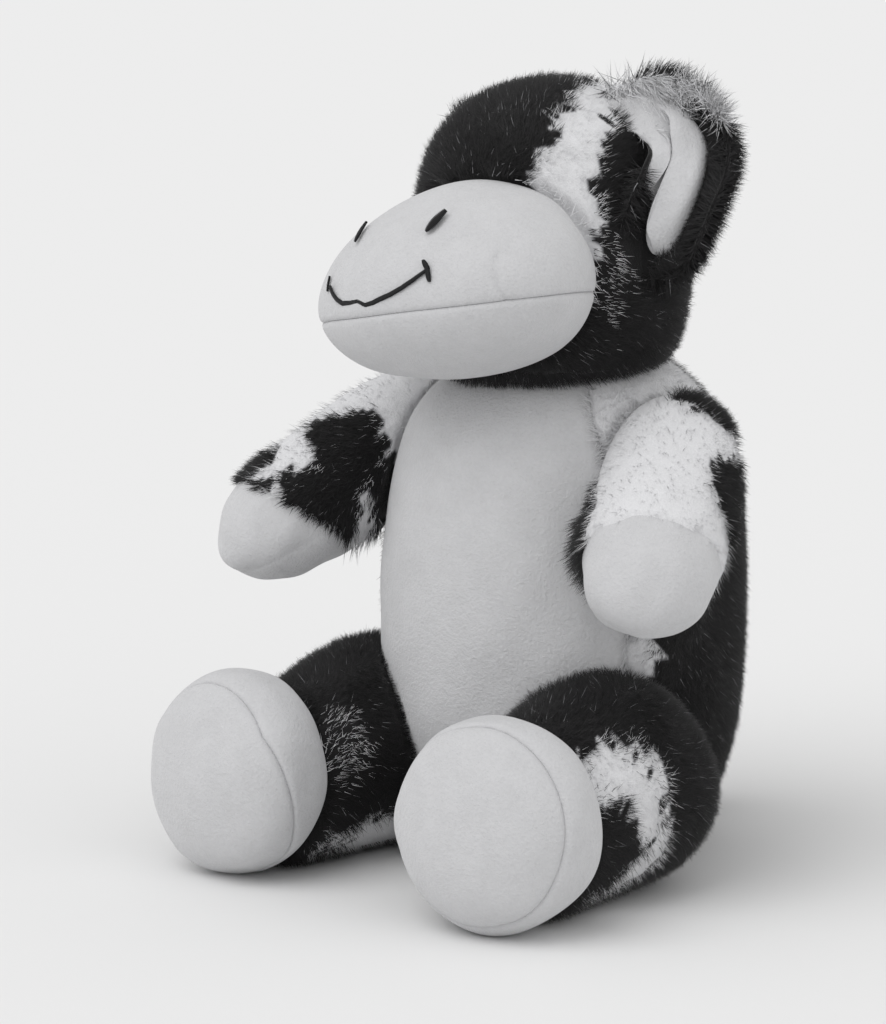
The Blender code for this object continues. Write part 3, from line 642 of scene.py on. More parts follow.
def new_material(name, roughness, sheen=0.0, sheen_roughness=0.5):
    """A material, its nodes and its Principled shader, with a weak gloss and a soft sheen."""
    material = bpy.data.materials.new(name)
    material.use_nodes = True
    tree = material.node_tree
    shader = tree.nodes["Principled BSDF"]
    for key, value in (("Roughness", roughness), ("Specular IOR Level", 0.25), ("Sheen Weight", sheen),
                       ("Sheen Roughness", sheen_roughness)):
        shader.inputs[key].default_value = value
    return material, tree, shader


def node(tree, kind, values=(), **settings):
    """A node with some of its settings, and then some of its inputs, given."""
    made = tree.nodes.new(kind)
    for key, value in settings.items():
        setattr(made, key, value)
    for key, value in dict(values).items():
        made.inputs[key].default_value = value
    return made


def tone_ramp(tree, tone):
    """Colour of a hair by its tone: two blacks, a grey and two whites."""
    ramp = node(tree, "ShaderNodeValToRGB")
    stops = ramp.color_ramp.elements
    stops[0].position = 0.0
    stops[0].color = (0.004, 0.0038, 0.004, 1)
    stops[1].position = 1.0
    stops[1].color = (0.93, 0.93, 0.945, 1)
    for position, colour in ((0.35, (0.022, 0.021, 0.022, 1)), (0.5, (0.25, 0.25, 0.26, 1)),
                             (0.65, (0.62, 0.62, 0.635, 1))):
        stop = stops.new(position)
        stop.color = colour
    tree.links.new(tone, ramp.inputs["Fac"])
    return ramp.outputs["Color"]


def make_grain_group():
    """Cloth grain shared by several materials: fine fibre noise over soft brushed clouds."""
    group = bpy.data.node_groups.new("cloth_grain", "ShaderNodeTree")
    face = group.interface
    face.new_socket("Position", in_out="INPUT", socket_type="NodeSocketVector")
    for name, value in (("Fibre size", 1000.0), ("Cloud size", 120.0), ("Darkest", 0.9)):
        face.new_socket(name, in_out="INPUT", socket_type="NodeSocketFloat").default_value = value
    for name in ("Shade", "Height"):
        face.new_socket(name, in_out="OUTPUT", socket_type="NodeSocketFloat")
    given = group.nodes.new("NodeGroupInput").outputs
    wanted = group.nodes.new("NodeGroupOutput").inputs
    fibre = node(group, "ShaderNodeTexNoise", {"Detail": 3.0, "Roughness": 0.7})
    cloud = node(group, "ShaderNodeTexNoise", {"Detail": 4.0, "Roughness": 0.6})
    both = node(group, "ShaderNodeMix", {"Factor": 0.45}, data_type="FLOAT")
    shade = node(group, "ShaderNodeMapRange", {"From Min": 0.3, "From Max": 0.7, "To Max": 1.0})
    for start, end in (
        (given["Position"], fibre.inputs["Vector"]),
        (given["Position"], cloud.inputs["Vector"]),
        (given["Fibre size"], fibre.inputs["Scale"]),
        (given["Cloud size"], cloud.inputs["Scale"]),
        (fibre.outputs["Fac"], both.inputs["A"]),
        (cloud.outputs["Fac"], both.inputs["B"]),
        (both.outputs["Result"], shade.inputs["Value"]),
        (given["Darkest"], shade.inputs["To Min"]),
        (shade.outputs["Result"], wanted["Shade"]),
        (both.outputs["Result"], wanted["Height"]),
    ):
        group.links.new(start, end)
    return group


grain_group = make_grain_group()


def shaded(tree, shader, colour, shade):
    """Gives the shader a colour, fixed or from a node, multiplied by a shade of 0 to 1."""
    mix = node(tree, "ShaderNodeMix", {"Factor": 1.0}, data_type="RGBA", blend_type="MULTIPLY")
    if isinstance(colour, tuple):
        mix.inputs[6].default_value = colour
    else:
        tree.links.new(colour, mix.inputs[6])
    tree.links.new(shade, mix.inputs[7])
    tree.links.new(mix.outputs[2], shader.inputs["Base Color"])


def finish_cloth(tree, shader, colour, sizes, bump, pellets=0.0):
    """Colours cloth with the shared grain and raises a bump from it, or from pellets of a given scale.

    sizes are the grain's fibre size, cloud size and darkest shade; bump is its strength and distance.
    """
    spot = tree.nodes.new("ShaderNodeTexCoord").outputs["Object"]
    cloth = tree.nodes.new("ShaderNodeGroup")
    cloth.node_tree = grain_group
    for key, value in zip(("Fibre size", "Cloud size", "Darkest"), sizes):
        cloth.inputs[key].default_value = value
    tree.links.new(spot, cloth.inputs["Position"])
    height = cloth.outputs["Height"]
    if pellets:
        beads = node(tree, "ShaderNodeTexVoronoi", {"Scale": pellets})
        tree.links.new(spot, beads.inputs["Vector"])
        height = beads.outputs["Distance"]
    shaded(tree, shader, colour, cloth.outputs["Shade"])
    raised = node(tree, "ShaderNodeBump", {"Strength": bump[0], "Distance": bump[1]})
    tree.links.new(height, raised.inputs["Height"])
    tree.links.new(raised.outputs["Normal"], shader.inputs["Normal"])


def plain_cloth(name, roughness, colour, sizes, bump, sheen=0.0, pellets=0.0):
    """A cloth or thread of one colour under the shared grain."""
    material, tree, shader = new_material(name, roughness, sheen)
    finish_cloth(tree, shader, colour, sizes, bump, pellets)
    return material


def fur_hair():
    """Hair: tone runs across the UV map and the place along the hair runs up it; roots are darker, a painted
    shade for the shadow deep among the hairs.
    """
    material, tree, shader = new_material("fur_hair", 0.62, 0.12, 0.45)
    spot = node(tree, "ShaderNodeUVMap", uv_map="OFBake")
    split = tree.nodes.new("ShaderNodeSeparateXYZ")
    # Painted shade: the colour is multiplied down to 0.95 at the root, standing in for the shadow among the
    # hairs
    depth = node(tree, "ShaderNodeMapRange", {"From Max": 0.8, "To Min": 0.95})
    tree.links.new(spot.outputs["UV"], split.inputs["Vector"])
    tree.links.new(split.outputs["Y"], depth.inputs["Value"])
    shaded(tree, shader, tone_ramp(tree, split.outputs["X"]), depth.outputs["Result"])
    return material


def fur_backing():
    """Knit backing with dense underfur: the tone of the hair above it, darker, with fibre noise."""
    material, tree, shader = new_material("fur_backing", 0.95, 0.2)
    tone = node(tree, "ShaderNodeAttribute", attribute_name="tone")
    finish_cloth(tree, shader, tone_ramp(tree, tone.outputs["Fac"]), (1400.0, 160.0, 0.86), (0.8, 0.0008))
    return material


HAIR = fur_hair()
BACKING = fur_backing()
PILE = plain_cloth("white_short_pile", 0.92, (0.60, 0.60, 0.612, 1), (1000.0, 150.0, 0.88), (0.9, 0.0009),
                   sheen=0.35)
THREAD = plain_cloth("black_thread", 0.5, (0.012, 0.012, 0.013, 1), (4000.0, 900.0, 0.6), (0.4, 0.0002))
FIBRE = plain_cloth("stuffing_fibre", 0.9, (0.85, 0.85, 0.84, 1), (700.0, 90.0, 0.8), (0.8, 0.002))
PELLETS = plain_cloth("pellet_cloth", 0.85, (0.7, 0.7, 0.68, 1), (2500.0, 200.0, 0.85), (0.6, 0.0015),
                      pellets=330.0)


# Fur

BENT_SHARE = 0.08
FLOOR_GAP = 0.3 * MM


def hair_mesh(name, root, way, bend, length, width, tone, facing, seed):
    """Closed three-sided hairs. A straight one is a slim pyramid; a bent one has a second ring halfway.

    way is each hair's direction at its root and bend is added to it above the middle. Its shading
    leans towards facing, the normal of the cloth, as light scattered among fine hairs does.
    """
    draw = np.random.default_rng(seed)
    bent = draw.random(len(root)) < BENT_SHARE
    across = unit(np.cross(way, draw.normal(size=root.shape)))
    other = np.cross(way, across)
    spokes = [math.cos(k) * across + math.sin(k) * other for k in (0, math.tau / 3, 2 * math.tau / 3)]
    tip = root + unit(way + 0.5 * bend) * length[:, None]
    middle = root + way * (0.52 * length)[:, None]
    tip[bent] = (middle + unit(way + 1.1 * bend) * (0.6 * length)[:, None])[bent]
    tip[:, 2] = np.maximum(tip[:, 2], FLOOR_GAP)
    base = np.stack([root + spoke * width[:, None] for spoke in spokes], 1)
    waist = np.stack([middle + spoke * (0.7 * width)[:, None] for spoke in spokes], 1)
    waist[..., 2] = np.maximum(waist[..., 2], FLOOR_GAP)
    straight = ~bent

    def woven(ring, second_ring, end):
        """Values of each straight hair's four points, then of each bent hair's seven."""
        plain = np.concatenate((ring[straight], end[straight]), 1)
        curved = np.concatenate((ring[bent], second_ring[bent], end[bent]), 1)
        return np.concatenate((plain.reshape(-1, ring.shape[-1]), curved.reshape(-1, ring.shape[-1])))

    def mapped(across, up):
        return np.stack((np.clip(across, 0.002, 0.998), np.full(across.shape, up)), -1)

    plain_faces = np.array(((0, 1, 3), (1, 2, 3), (2, 0, 3), (0, 2, 1)))
    curved_faces = np.array(((0, 1, 4), (0, 4, 3), (1, 2, 5), (1, 5, 4), (2, 0, 3), (2, 3, 5),
                             (3, 4, 6), (4, 5, 6), (5, 3, 6), (0, 2, 1)))
    first = 4 * np.arange(straight.sum())[:, None, None] + plain_faces
    second = 4 * straight.sum() + 7 * np.arange(bent.sum())[:, None, None] + curved_faces
    faces = np.concatenate((first.reshape(-1, 3), second.reshape(-1, 3)))
    body = new_piece(name, woven(base, waist, tip[:, None]), [faces], HAIR)
    ring = np.stack([unit(facing + 0.5 * spoke) for spoke in spokes], 1)
    body.data.normals_split_custom_set_from_vertices(woven(ring, ring, facing[:, None]).tolist())
    tones = tone[:, None] + np.array((-0.004, 0.0, 0.004))
    layer = body.data.uv_layers.new(name="OFBake")
    coords = woven(mapped(tones, 0.0), mapped(tones, 0.5), mapped(tone[:, None], 1.0))[faces.ravel()]
    layer.data.foreach_set("uv", coords.astype(np.float32).ravel())
    return body


def sow(skin, per_square_mm, seed, sink):
    """Hair roots spread evenly: grid cells are drawn by area, and each root anywhere in its cell."""
    draw = np.random.default_rng(seed)
    grid = np.concatenate((skin.grid, skin.grid[:, :1]), 1)
    one = grid[1:, 1:] - grid[:-1, :-1]
    two = grid[1:, :-1] - grid[:-1, 1:]
    area = np.linalg.norm(np.cross(one, two), axis=-1).ravel() / 2
    count = int(per_square_mm * area.sum() / MM**2)
    cell = draw.choice(len(area), size=count, p=area / area.sum())
    columns = skin.grid.shape[1]
    row = cell // columns + draw.random(count)
    column = cell % columns + draw.random(count)
    point, normal = skin.at(row, column)
    return point - normal * sink, normal, point


FUR_PER_MM2 = 4.0
EAR_FUR_PER_MM2 = 5.6
TAIL_FUR_PER_MM2 = 5.0
TUFT_FUR_PER_MM2 = 9.0
FUR_LENGTH = 4.8 * MM
LIMB_FUR = 4.9 * MM
WHITE_SHARE = 0.14
BORDER_SHARE = 0.7
BORDER_REACH = 4.5 * MM
TUFT_SIZE = 1.9 * MM
HAIR_RADIUS = 0.15 * MM
STRAY_SHARE = 0.012


def comb_fur(name, skin, density, keep, comb, tone_of, length, lean, seed, sink=FUR_DEPTH + 0.4 * MM,
             white_share=WHITE_SHARE, lift=(0.0, 0.0, 0.0)):
    """Hairs over a skin, leaning by lean degrees along the comb direction and drawn into small tufts.

    length, lean and white_share, the share of white hairs kept, are numbers or functions of points.
    lift is added to the shading's normal where the cloth is thin and its hair is seen over an edge.
    """
    root, normal, surface = sow(skin, density, seed, sink)
    kept = keep(surface)
    root, normal, surface = root[kept], normal[kept], surface[kept]
    draw = np.random.default_rng(seed + 1)
    shade = tone_of(surface)
    beside = tone_of(surface + unit(draw.normal(size=surface.shape)) * BORDER_REACH)
    chance = draw.random(len(root))
    border = (beside < 0.5) & (chance < BORDER_SHARE)
    kept = (shade < 0.5) | (chance < value_at(white_share, surface)) | border
    root, normal, surface, shade = root[kept], normal[kept], surface[kept], shade[kept]
    count = len(root)
    flow = comb(surface)
    swirl = np.stack([ripple(surface, 26 * MM, seed + k) for k in (11, 12, 13)], -1) * 0.4
    flow = flow + swirl + draw.normal(size=(count, 3)) * 0.3
    flow = unit(flattened(flow, normal))
    tilt = np.radians(value_at(lean, surface) + draw.normal(size=count) * 8)[:, None]
    way = unit(normal * np.cos(tilt) + flow * np.sin(tilt))
    length = np.full(count, value_at(length, surface))
    long = length * np.clip(draw.normal(1, 0.1, count), 0.7, 1.3) * np.where(shade > 0.5, 0.9, 1.0)
    cell = np.floor(surface / TUFT_SIZE)
    spin = np.sin(cell @ np.array((12.9898, 78.233, 37.719)))
    offset = np.modf(spin[:, None] * np.array((43758.5453, 24634.6345, 35412.17)))[0]
    centre = (cell + 0.5 + 0.35 * offset) * TUFT_SIZE
    pull = flattened(centre - surface, normal)
    way = unit(way + pull / length[:, None] * 0.6)
    bend = flow * 0.45 - normal * 0.05 + draw.normal(size=(count, 3)) * 0.16
    tone = np.where(shade > 0.5, draw.uniform(0.7, 0.92, count), draw.uniform(0.02, 0.36, count))
    stray = draw.random(count)
    tone = np.where((shade < 0.5) & (stray < STRAY_SHARE), 0.5, tone)
    thick = HAIR_RADIUS * draw.uniform(0.75, 1.2, count)
    return hair_mesh(name, root, way, bend, long, thick, tone, unit(normal + np.array(lift)), seed + 2)


def backing(name, skin, tone_of, sink=BACKING_DEPTH, shape=None):
    """The cloth under the fur: the skin a little inside the solid, with the tone of the hair on it.

    sink is its depth, or gives it at each point: deeper where another piece lies over it.
    """
    rings = skin_rings(skin, 0, skin.grid.shape[0] - 1, BACKING_STEP, sink)
    if shape is not None:
        rings = shape(rings)
    body = closed_piece(name, rings, BACKING)
    tone = 0.08 + 0.72 * tone_of(points_of(body), drawn=False)
    layer = body.data.attributes.new("tone", "FLOAT", "POINT")
    layer.data.foreach_set("value", tone.astype(np.float32))
    return body


def toned(ground, patches, fray=0.8 * MM, seed=3):
    """The tone of one piece's fur as a function of points."""
    return lambda points, drawn=True: patch_tone(points, ground, patches, fray, seed, drawn)


def in_belly(points, margin):
    """Whether a point on the torso's front lies within the belly panel's egg outline."""
    middle = (BELLY_TOP + BELLY_FOOT) / 2
    half = (BELLY_TOP - BELLY_FOOT) / 2 + margin
    up = np.clip((points[:, 2] - middle) / half, -1, 1)
    wide = (BELLY_WIDE + margin) * (1 - BELLY_TAPER * up) * np.sqrt(1 - up**2)
    return (np.abs(points[:, 0]) < wide) & (points[:, 1] < 0)


def beyond_limbs(points):
    """How far each point lies outside the nearest arm or leg; negative inside one."""
    return np.min([limb.outside(points) for limb in (*arms.values(), *legs.values())], axis=0)


def torso_shows(points):
    """Where the torso's fur is not covered by a limb, the head, the belly panel or the back stitching."""
    clear = ~in_belly(points, -0.6 * MM) & (beyond_limbs(points) > -2 * MM)
    clear &= (head.outside(points) > 1.5 * MM) & (muzzle.outside(points) > 2 * MM)
    stitched = (np.abs(points[:, 0]) < 2.2 * MM) & (np.abs(points[:, 2] - 104 * MM) < 27 * MM)
    return clear & ~(stitched & (points[:, 1] > 0))


def nearest(points, spots):
    """Each point's distance to the nearest of some spots."""
    return np.linalg.norm(points[:, None] - spots[None], axis=-1).min(1)


def beside_ears(points):
    """Where the head's fur would stand through an ear that lies against it."""
    near = np.zeros(len(points), bool)
    for _, _, back, lining in ears.values():
        sheets = np.concatenate([skin.grid[8::2, ::2].reshape(-1, 3) for skin in (back, lining)])
        low = sheets.min(0) - 4 * MM
        high = sheets.max(0) + 4 * MM
        close = np.flatnonzero(((points > low) & (points < high)).all(1))
        for part in np.array_split(close, len(close) // 2000 + 1):
            near[part] = nearest(points[part], sheets) < 3.4 * MM
    return near


def head_shows(points):
    """Where the head's fur is not covered by the muzzle, the torso or an ear."""
    clear = (muzzle.outside(points) > -2.4 * MM) & (torso.outside(points) > 0.5 * MM)
    return clear & ~beside_ears(points)


def beside_belly(points):
    """1 on the torso next to the belly panel, where the fur falls over its edge."""
    return in_belly(points, 7 * MM).astype(float)


def comb_torso(points):
    """Down, and over the belly panel's edge beside it."""
    inward = -np.sign(points[:, :1]) * np.array((1.0, 0.0, 0.0))
    return inward * 1.5 * beside_belly(points)[:, None] - UP


def comb_head(points):
    """Away from the nose, and a little down."""
    nose = np.array(muzzle_place)[:3, 3] + np.array((0, -20, -4)) * MM
    return unit(points - nose) - 0.25 * UP


def neck_seat(rings):
    """Lifts the head's underside clear of the torso's crown at both ends of the nod."""
    points = rings.reshape(-1, 3).copy()
    reach = np.hypot(points[:, 0], points[:, 1])
    heights = torso.rows[:, 0]
    radii = torso.rows[:, 1]
    top = heights[: int(np.argmax(radii)) + 1]
    crown = np.interp(reach, radii[: len(top)], top)
    floor = crown + 2.0 * MM + np.abs(points[:, 1]) * math.tan(NOD)
    close = reach < 52 * MM
    points[:, 2] = np.where(close, np.maximum(points[:, 2], np.minimum(floor, 176 * MM)), points[:, 2])
    return points.reshape(rings.shape)


def replace(piece, body, slot, fill, *nodes):
    """Ties a stuffed piece to its body and hides the solids it stands for; slot is not used."""
    if body:
        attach(piece, body)
    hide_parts(*nodes)


full_head = stuffed_fuller(head, (-26, -26, 227), 28 * MM, 2.6 * MM)
torso_tone = toned(0, TORSO_PATCHES)
head_tone = toned(0, HEAD_PATCHES)

hips = {word: stuffed_fuller(legs[word], (side * 72, -22, 28), 22 * MM, 4.5 * MM) for side, word in SIDES}


def torso_sink(points):
    """Deeper under the belly panel, and where an arm or a leg meets the torso."""
    covered = in_belly(points, 0.0) | (beyond_limbs(points) < 0)
    return np.where(covered, 4.0 * MM, BACKING_DEPTH)


def head_sink(points):
    """Deeper under the muzzle."""
    return np.where(muzzle.outside(points) < 1.0 * MM, 4.0 * MM, BACKING_DEPTH)


torso_backing = backing("torso_backing", torso, torso_tone, sink=torso_sink)
replace(torso_backing, "torso", "black_fur", 0.8, "torso_cover")
head_backing = backing("head_backing", full_head, head_tone, sink=head_sink, shape=neck_seat)
replace(head_backing, "head", "black_fur", 0.9, "head_cover")

sectors = {
    "torso_fur_left": lambda p: (p[:, 0] > 0) & (p[:, 1] <= 16 * MM),
    "torso_fur_right": lambda p: (p[:, 0] <= 0) & (p[:, 1] <= 16 * MM),
    "torso_fur_back_left": lambda p: (p[:, 0] > 0) & (p[:, 1] > 16 * MM),
    "torso_fur_back_right": lambda p: (p[:, 0] <= 0) & (p[:, 1] > 16 * MM),
}
for number, (name, sector) in enumerate(sectors.items()):
    fur = comb_fur(name, torso, FUR_PER_MM2, lambda p: torso_shows(p) & sector(p), comb_torso, torso_tone,
                   FUR_LENGTH, lambda p: 36 + 16 * beside_belly(p), 100 + 10 * number,
                   white_share=lambda p: WHITE_SHARE + 0.5 * beside_belly(p))
    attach(fur, "torso")
for number, (sign, word) in enumerate(SIDES):
    fur = comb_fur(f"head_fur_{word}", full_head, FUR_PER_MM2, lambda p: head_shows(p) & (p[:, 0] * sign > 0),
                   comb_head, head_tone, FUR_LENGTH, 32, 200 + 10 * number)
    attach(fur, "head")


# Belly panel


def build_belly():
    """Egg-shaped panel: its face follows the torso's front, its edge turns in, and its back closes it.

    Rings run out from the middle over the face, then back in over the reverse.
    """
    rings = 70
    columns = 150
    shares = np.linspace(0, 1, rings)[:, None]
    turns = (np.arange(columns) * math.tau / columns)[None, :]
    up = shares * np.sin(turns)
    across = BELLY_WIDE * shares * np.cos(turns) * (1 - BELLY_TAPER * up)
    height = np.minimum((BELLY_TOP + BELLY_FOOT) / 2 + (BELLY_TOP - BELLY_FOOT) / 2 * up, BELLY_TURN)
    point, normal = torso.at(*torso.front(across.ravel(), height.ravel()))
    gap = ((1 - shares) * BELLY_WIDE + 0 * turns).ravel()
    folds = ripple(point, 30 * MM, 41) * 0.35 * MM
    face = point - normal * (PILE_DEPTH - folds + seam_dip(gap, 2.6 * MM, 1.0 * MM))[:, None]
    reverse = point - normal * (PILE_DEPTH + 2.0 * MM)
    reverse = reverse.reshape(rings, columns, 3)[-2::-1]
    body = closed_piece("belly_panel_pile", np.concatenate((face.reshape(rings, columns, 3), reverse)), PILE)
    face_outwards(body)
    return body


belly = build_belly()
replace(belly, "torso", "white_short_pile", 0.7, "belly_panel")


# Muzzle, mouth seam and darts


def muzzle_sink(point):
    """Pile depth, the turn-in at the mouth seam, two darts above it and soft unevenness.

    The stuffing has sunk, so the pile lies deeper at the top and stands fuller below.
    """
    spot = muzzle.local(point)
    gap = np.abs(spot[:, 2] - MOUTH_HEIGHT)
    dip = seam_dip(gap, 2.2 * MM, 0.8 * MM)
    along = np.clip(spot[:, 2], MOUTH_HEIGHT, 5 * MM)
    for side, _ in SIDES:
        line = side * (38.6 - 0.15 * (along / MM + 9)) * MM
        away = np.hypot(spot[:, 0] - line, spot[:, 2] - along)
        front = spot[:, 1] < 0
        dip = dip + np.where(front, seam_dip(away, 1.9 * MM, 1.1 * MM), 0)
    lower = 1.6 * MM * np.clip(spot[:, 2] / (24 * MM), -1, 1)
    return PILE_DEPTH + dip + lower - ripple(point, 24 * MM, 51) * 0.35 * MM


mouth_row = muzzle.row_at(MOUTH_HEIGHT)
upper = skin_rings(muzzle, 0, mouth_row - SEAM_GAP, FACE_STEP, muzzle_sink)
lower = skin_rings(muzzle, mouth_row + SEAM_GAP, muzzle.grid.shape[0] - 1, FACE_STEP, muzzle_sink)
for piece, node_name in (
    (cut_pile("muzzle_upper_pile", upper), "muzzle_upper"),
    (cut_pile("muzzle_lower_pile", lower, first=True), "muzzle_lower"),
):
    replace(piece, "head", "white_short_pile", 0.9, node_name)


# Face stitching


def stitches(name, middles, ways, normals, half_lengths, half_width, height, node_name):
    """Satin stitch: short threads laid side by side, each a slim capsule pressed on the pile."""
    rings = 6
    sides = 6
    bow = np.linspace(0, math.pi, rings)[:, None]
    turns = np.arange(sides) * math.tau / sides
    along = -np.cos(bow) + 0 * turns
    girth = np.sin(bow) ** 0.6
    shape = (
        middles[:, None, None]
        + ways[:, None, None] * (along * half_lengths[:, None, None])[..., None]
        + np.cross(normals, ways)[:, None, None] * (girth * np.cos(turns) * half_width)[None, ..., None]
        + normals[:, None, None] * (girth * np.sin(turns) * height)[None, ..., None]
    )
    between = shape[:, 1:-1].reshape(len(middles), -1, 3)
    points = np.concatenate((shape[:, 0, :1], between, shape[:, -1, :1]), 1)
    starts = np.arange(len(middles))[:, None, None] * points.shape[1]
    faces = [(starts + block).reshape(-1, block.shape[1]) for block in closed_faces(rings - 2, sides)]
    body = new_piece(name, points.reshape(-1, 3), faces, THREAD)
    face_outwards(body)
    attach(body, "head")
    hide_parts(node_name)


def set_across(line, step, slant):
    """Points of the muzzle's pile at even steps along a line, ways set across it aslant, and normals.

    The line is given across and up the muzzle's front. The last result runs from 0 to 1 along it.
    """
    length = np.append(0, np.cumsum(np.linalg.norm(np.diff(line, axis=0), axis=1)))
    spots = np.linspace(0, length[-1], max(3, round(length[-1] / step)))
    point, normal = muzzle.at(*muzzle.front(*(np.interp(spots, length, line[:, k]) for k in range(2))))
    point = point - normal * 0.6 * MM
    along = unit(np.gradient(point, axis=0))
    return point, unit(np.cross(normal, along) + slant * along), normal, np.linspace(0, 1, len(spots))


THREAD_HALF = 0.26 * MM
SMILE_LINE = np.array((
    (-21.9, 1.6), (-19.5, -0.6), (-16.5, -2.6), (-13.2, -4.0), (-9.0, -4.2), (-5.2, -4.0), (-2.0, -5.4),
    (1.2, -5.0), (4.0, -4.2), (8.0, -3.2), (12.0, -1.7), (15.6, 0.2), (19.4, 2.6),
)) * MM
FAR_TICK = np.array(((-24.2, 4.6), (-24.0, 2.4), (-23.6, 0.4))) * MM
NEAR_TICK = np.array(((17.9, 5.6), (19.7, 3.2), (20.8, -0.6))) * MM


def line_stitches(line, half_width, taper):
    """Stitches set across a line and slanted, shorter towards its ends by taper."""
    point, way, normal, share = set_across(line, 0.32 * MM, 0.45)
    return point, way, normal, half_width * (1 - taper * np.abs(2 * share - 1) ** 4)


smile = zip(
    line_stitches(SMILE_LINE, 0.85 * MM, 0.3),
    line_stitches(FAR_TICK, 0.6 * MM, 0.4),
    line_stitches(NEAR_TICK, 0.95 * MM, 0.4),
)
stitches("smile_stitching", *(np.concatenate(group) for group in smile), THREAD_HALF, 0.42 * MM, "smile")
for side, word in SIDES:
    across = side * np.linspace(14.7, 16.5, 9) + 0.5 * (side - 1)
    core = np.stack((across, np.linspace(14.2, 19.6, 9)), -1) * MM
    point, way, normal, share = set_across(core, 0.3 * MM, 0.3)
    half = (1.6 + 0.3 * side) * MM * np.sin(math.pi * (0.06 + 0.8 * share**0.9)) ** 0.75
    stitches(f"nostril_{word}_stitching", point, way, normal, half, THREAD_HALF, 0.45 * MM, f"nostril_{word}")


# Arms and hooves


def arm_pieces(word, side):
    """An arm's backing, fur and hoof. The fur's edge lies further along on top of the arm."""
    skin = arms[word]
    shoulder, way = arm_lines[word]
    tone_of = toned(1, ARM_PATCHES[word])
    reach = 2 if side > 0 else 8

    def before_hoof(points):
        """How far each point is short of the fur's edge."""
        spot = skin.local(points)
        return WRIST + (1 - reach * np.clip(spot[:, 1] / (17 * MM), -1, 1)) * MM - spot[:, 2]

    def cloth_sink(points):
        """Deeper inside the hoof and inside the torso."""
        covered = (before_hoof(points) < 0) | (torso.outside(points) < 0)
        return np.where(covered, 3.8 * MM, BACKING_DEPTH + 0.4 * MM)

    cloth = backing(f"arm_{word}_backing", skin, tone_of, sink=cloth_sink)
    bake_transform(cloth)
    replace(cloth, None, "white_fur", 0.8, f"arm_{word}_sleeve")

    def shows(points):
        return (before_hoof(points) > 0) & (torso.outside(points) > 0) & (head.outside(points) > 1 * MM)

    def comb(points):
        return np.tile(np.array(way) - 0.35 * UP, (len(points), 1))

    def length(points):
        """Longer on the black underside of the left arm and under the right one, next to the hoof."""
        spot = skin.local(points)
        near_hoof = ease((spot[:, 2] - 30 * MM) / (14 * MM))
        if side > 0:
            return LIMB_FUR + 3.6 * MM * near_hoof * (tone_of(points) < 0.5) * (points[:, 2] < 116 * MM)
        return LIMB_FUR + 3.0 * MM * near_hoof * ease((spot[:, 1] - 8 * MM) / (10 * MM))

    seed = 300 if side > 0 else 330
    fur = comb_fur(f"arm_{word}_fur", skin, FUR_PER_MM2, shows, comb, tone_of, length, 36, seed,
                   white_share=0.05)
    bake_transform(fur)

    def sink(point):
        """Pile depth, a faint fold along the hoof, the turn-in under the fur's edge and unevenness."""
        dip = seam_dip(np.abs(skin.local(point)[:, 1] - 5 * MM), 3.2 * MM, 0.4 * MM)
        dip = dip + 2.4 * MM * ease(before_hoof(point) / (3 * MM))
        return HOOF_DEPTH + dip - ripple(point, 16 * MM, 61) * 0.4 * MM

    rings = skin_rings(skin, 0, skin.row_at(WRIST - (6 + reach) * MM), FINE_STEP, sink)
    hoof = cut_pile(f"arm_{word}_hoof_pile", rings, 5)
    replace(hoof, f"arm_{word}", "white_short_pile", 0.8, f"arm_{word}_hoof")


def leg_pieces(word, side):
    """A leg's backing and fur, and its foot in two parts that meet at the sole seam."""
    skin = hips[word]
    foot = feet[word]
    hip, way = leg_lines[word]
    tone_of = toned(0, LEG_PATCHES[word], fray=1.5 * MM)

    def cloth_sink(points):
        """Deeper inside the foot and inside the torso."""
        covered = (foot.outside(points) < 1 * MM) | (torso.outside(points) < 0)
        return np.where(covered, 3.6 * MM, BACKING_DEPTH)

    cloth = backing(f"leg_{word}_backing", skin, tone_of, sink=cloth_sink)
    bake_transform(cloth)
    replace(cloth, None, "black_fur", 0.8, f"leg_{word}_sleeve")

    def shows(points):
        return (foot.outside(points) > -0.5 * MM) & (torso.outside(points) > 0)

    def comb(points):
        return np.tile(-np.array(way) * 0.5 - 0.5 * UP, (len(points), 1))

    seed = 400 if side > 0 else 430
    fur = comb_fur(f"leg_{word}_fur", skin, FUR_PER_MM2, shows, comb, tone_of, LIMB_FUR, 34, seed)
    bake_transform(fur)

    def seam_level(across):
        """Height of the sole seam: even on the left foot, and lower towards the toes on the right one."""
        if side > 0:
            return np.full(len(across), SOLE_EDGE)
        return 6 * MM - 0.42 * np.clip(across, -15 * MM, 22 * MM)

    def sink(point):
        """Pile depth, the turn-in at the sole seam and soft unevenness."""
        spot = foot.local(point)
        dip = seam_dip(np.abs(spot[:, 2] - seam_level(spot[:, 1])), 2.4 * MM, 0.9 * MM)
        return PILE_DEPTH + dip - ripple(point, 26 * MM, 71) * 0.5 * MM

    def edge(turns):
        """Row of the sole seam round the foot, found by halving the span of heights twenty times."""
        low = np.full(len(turns), -16 * MM)
        high = np.full(len(turns), 18 * MM)
        for _ in range(20):
            level = (low + high) / 2
            above = level > seam_level(foot.form_at(level)[1] * np.sin(turns))
            high = np.where(above, level, high)
            low = np.where(above, low, level)
        return foot.row_at((low + high) / 2)

    front = skin_rings(foot, 0, lambda turns: edge(turns) - SEAM_GAP, FINE_STEP, sink)
    rear = skin_rings(foot, lambda turns: edge(turns) + SEAM_GAP, foot.grid.shape[0] - 1, FINE_STEP, sink)
    sole = cut_pile(f"foot_{word}_sole_pile", front)
    top = cut_pile(f"foot_{word}_upper_pile", rear, first=True)
    replace(sole, f"leg_{word}", "white_short_pile", 0.9, f"foot_{word}_sole")
    replace(top, f"leg_{word}", "white_short_pile", 0.9, f"foot_{word}_upper")


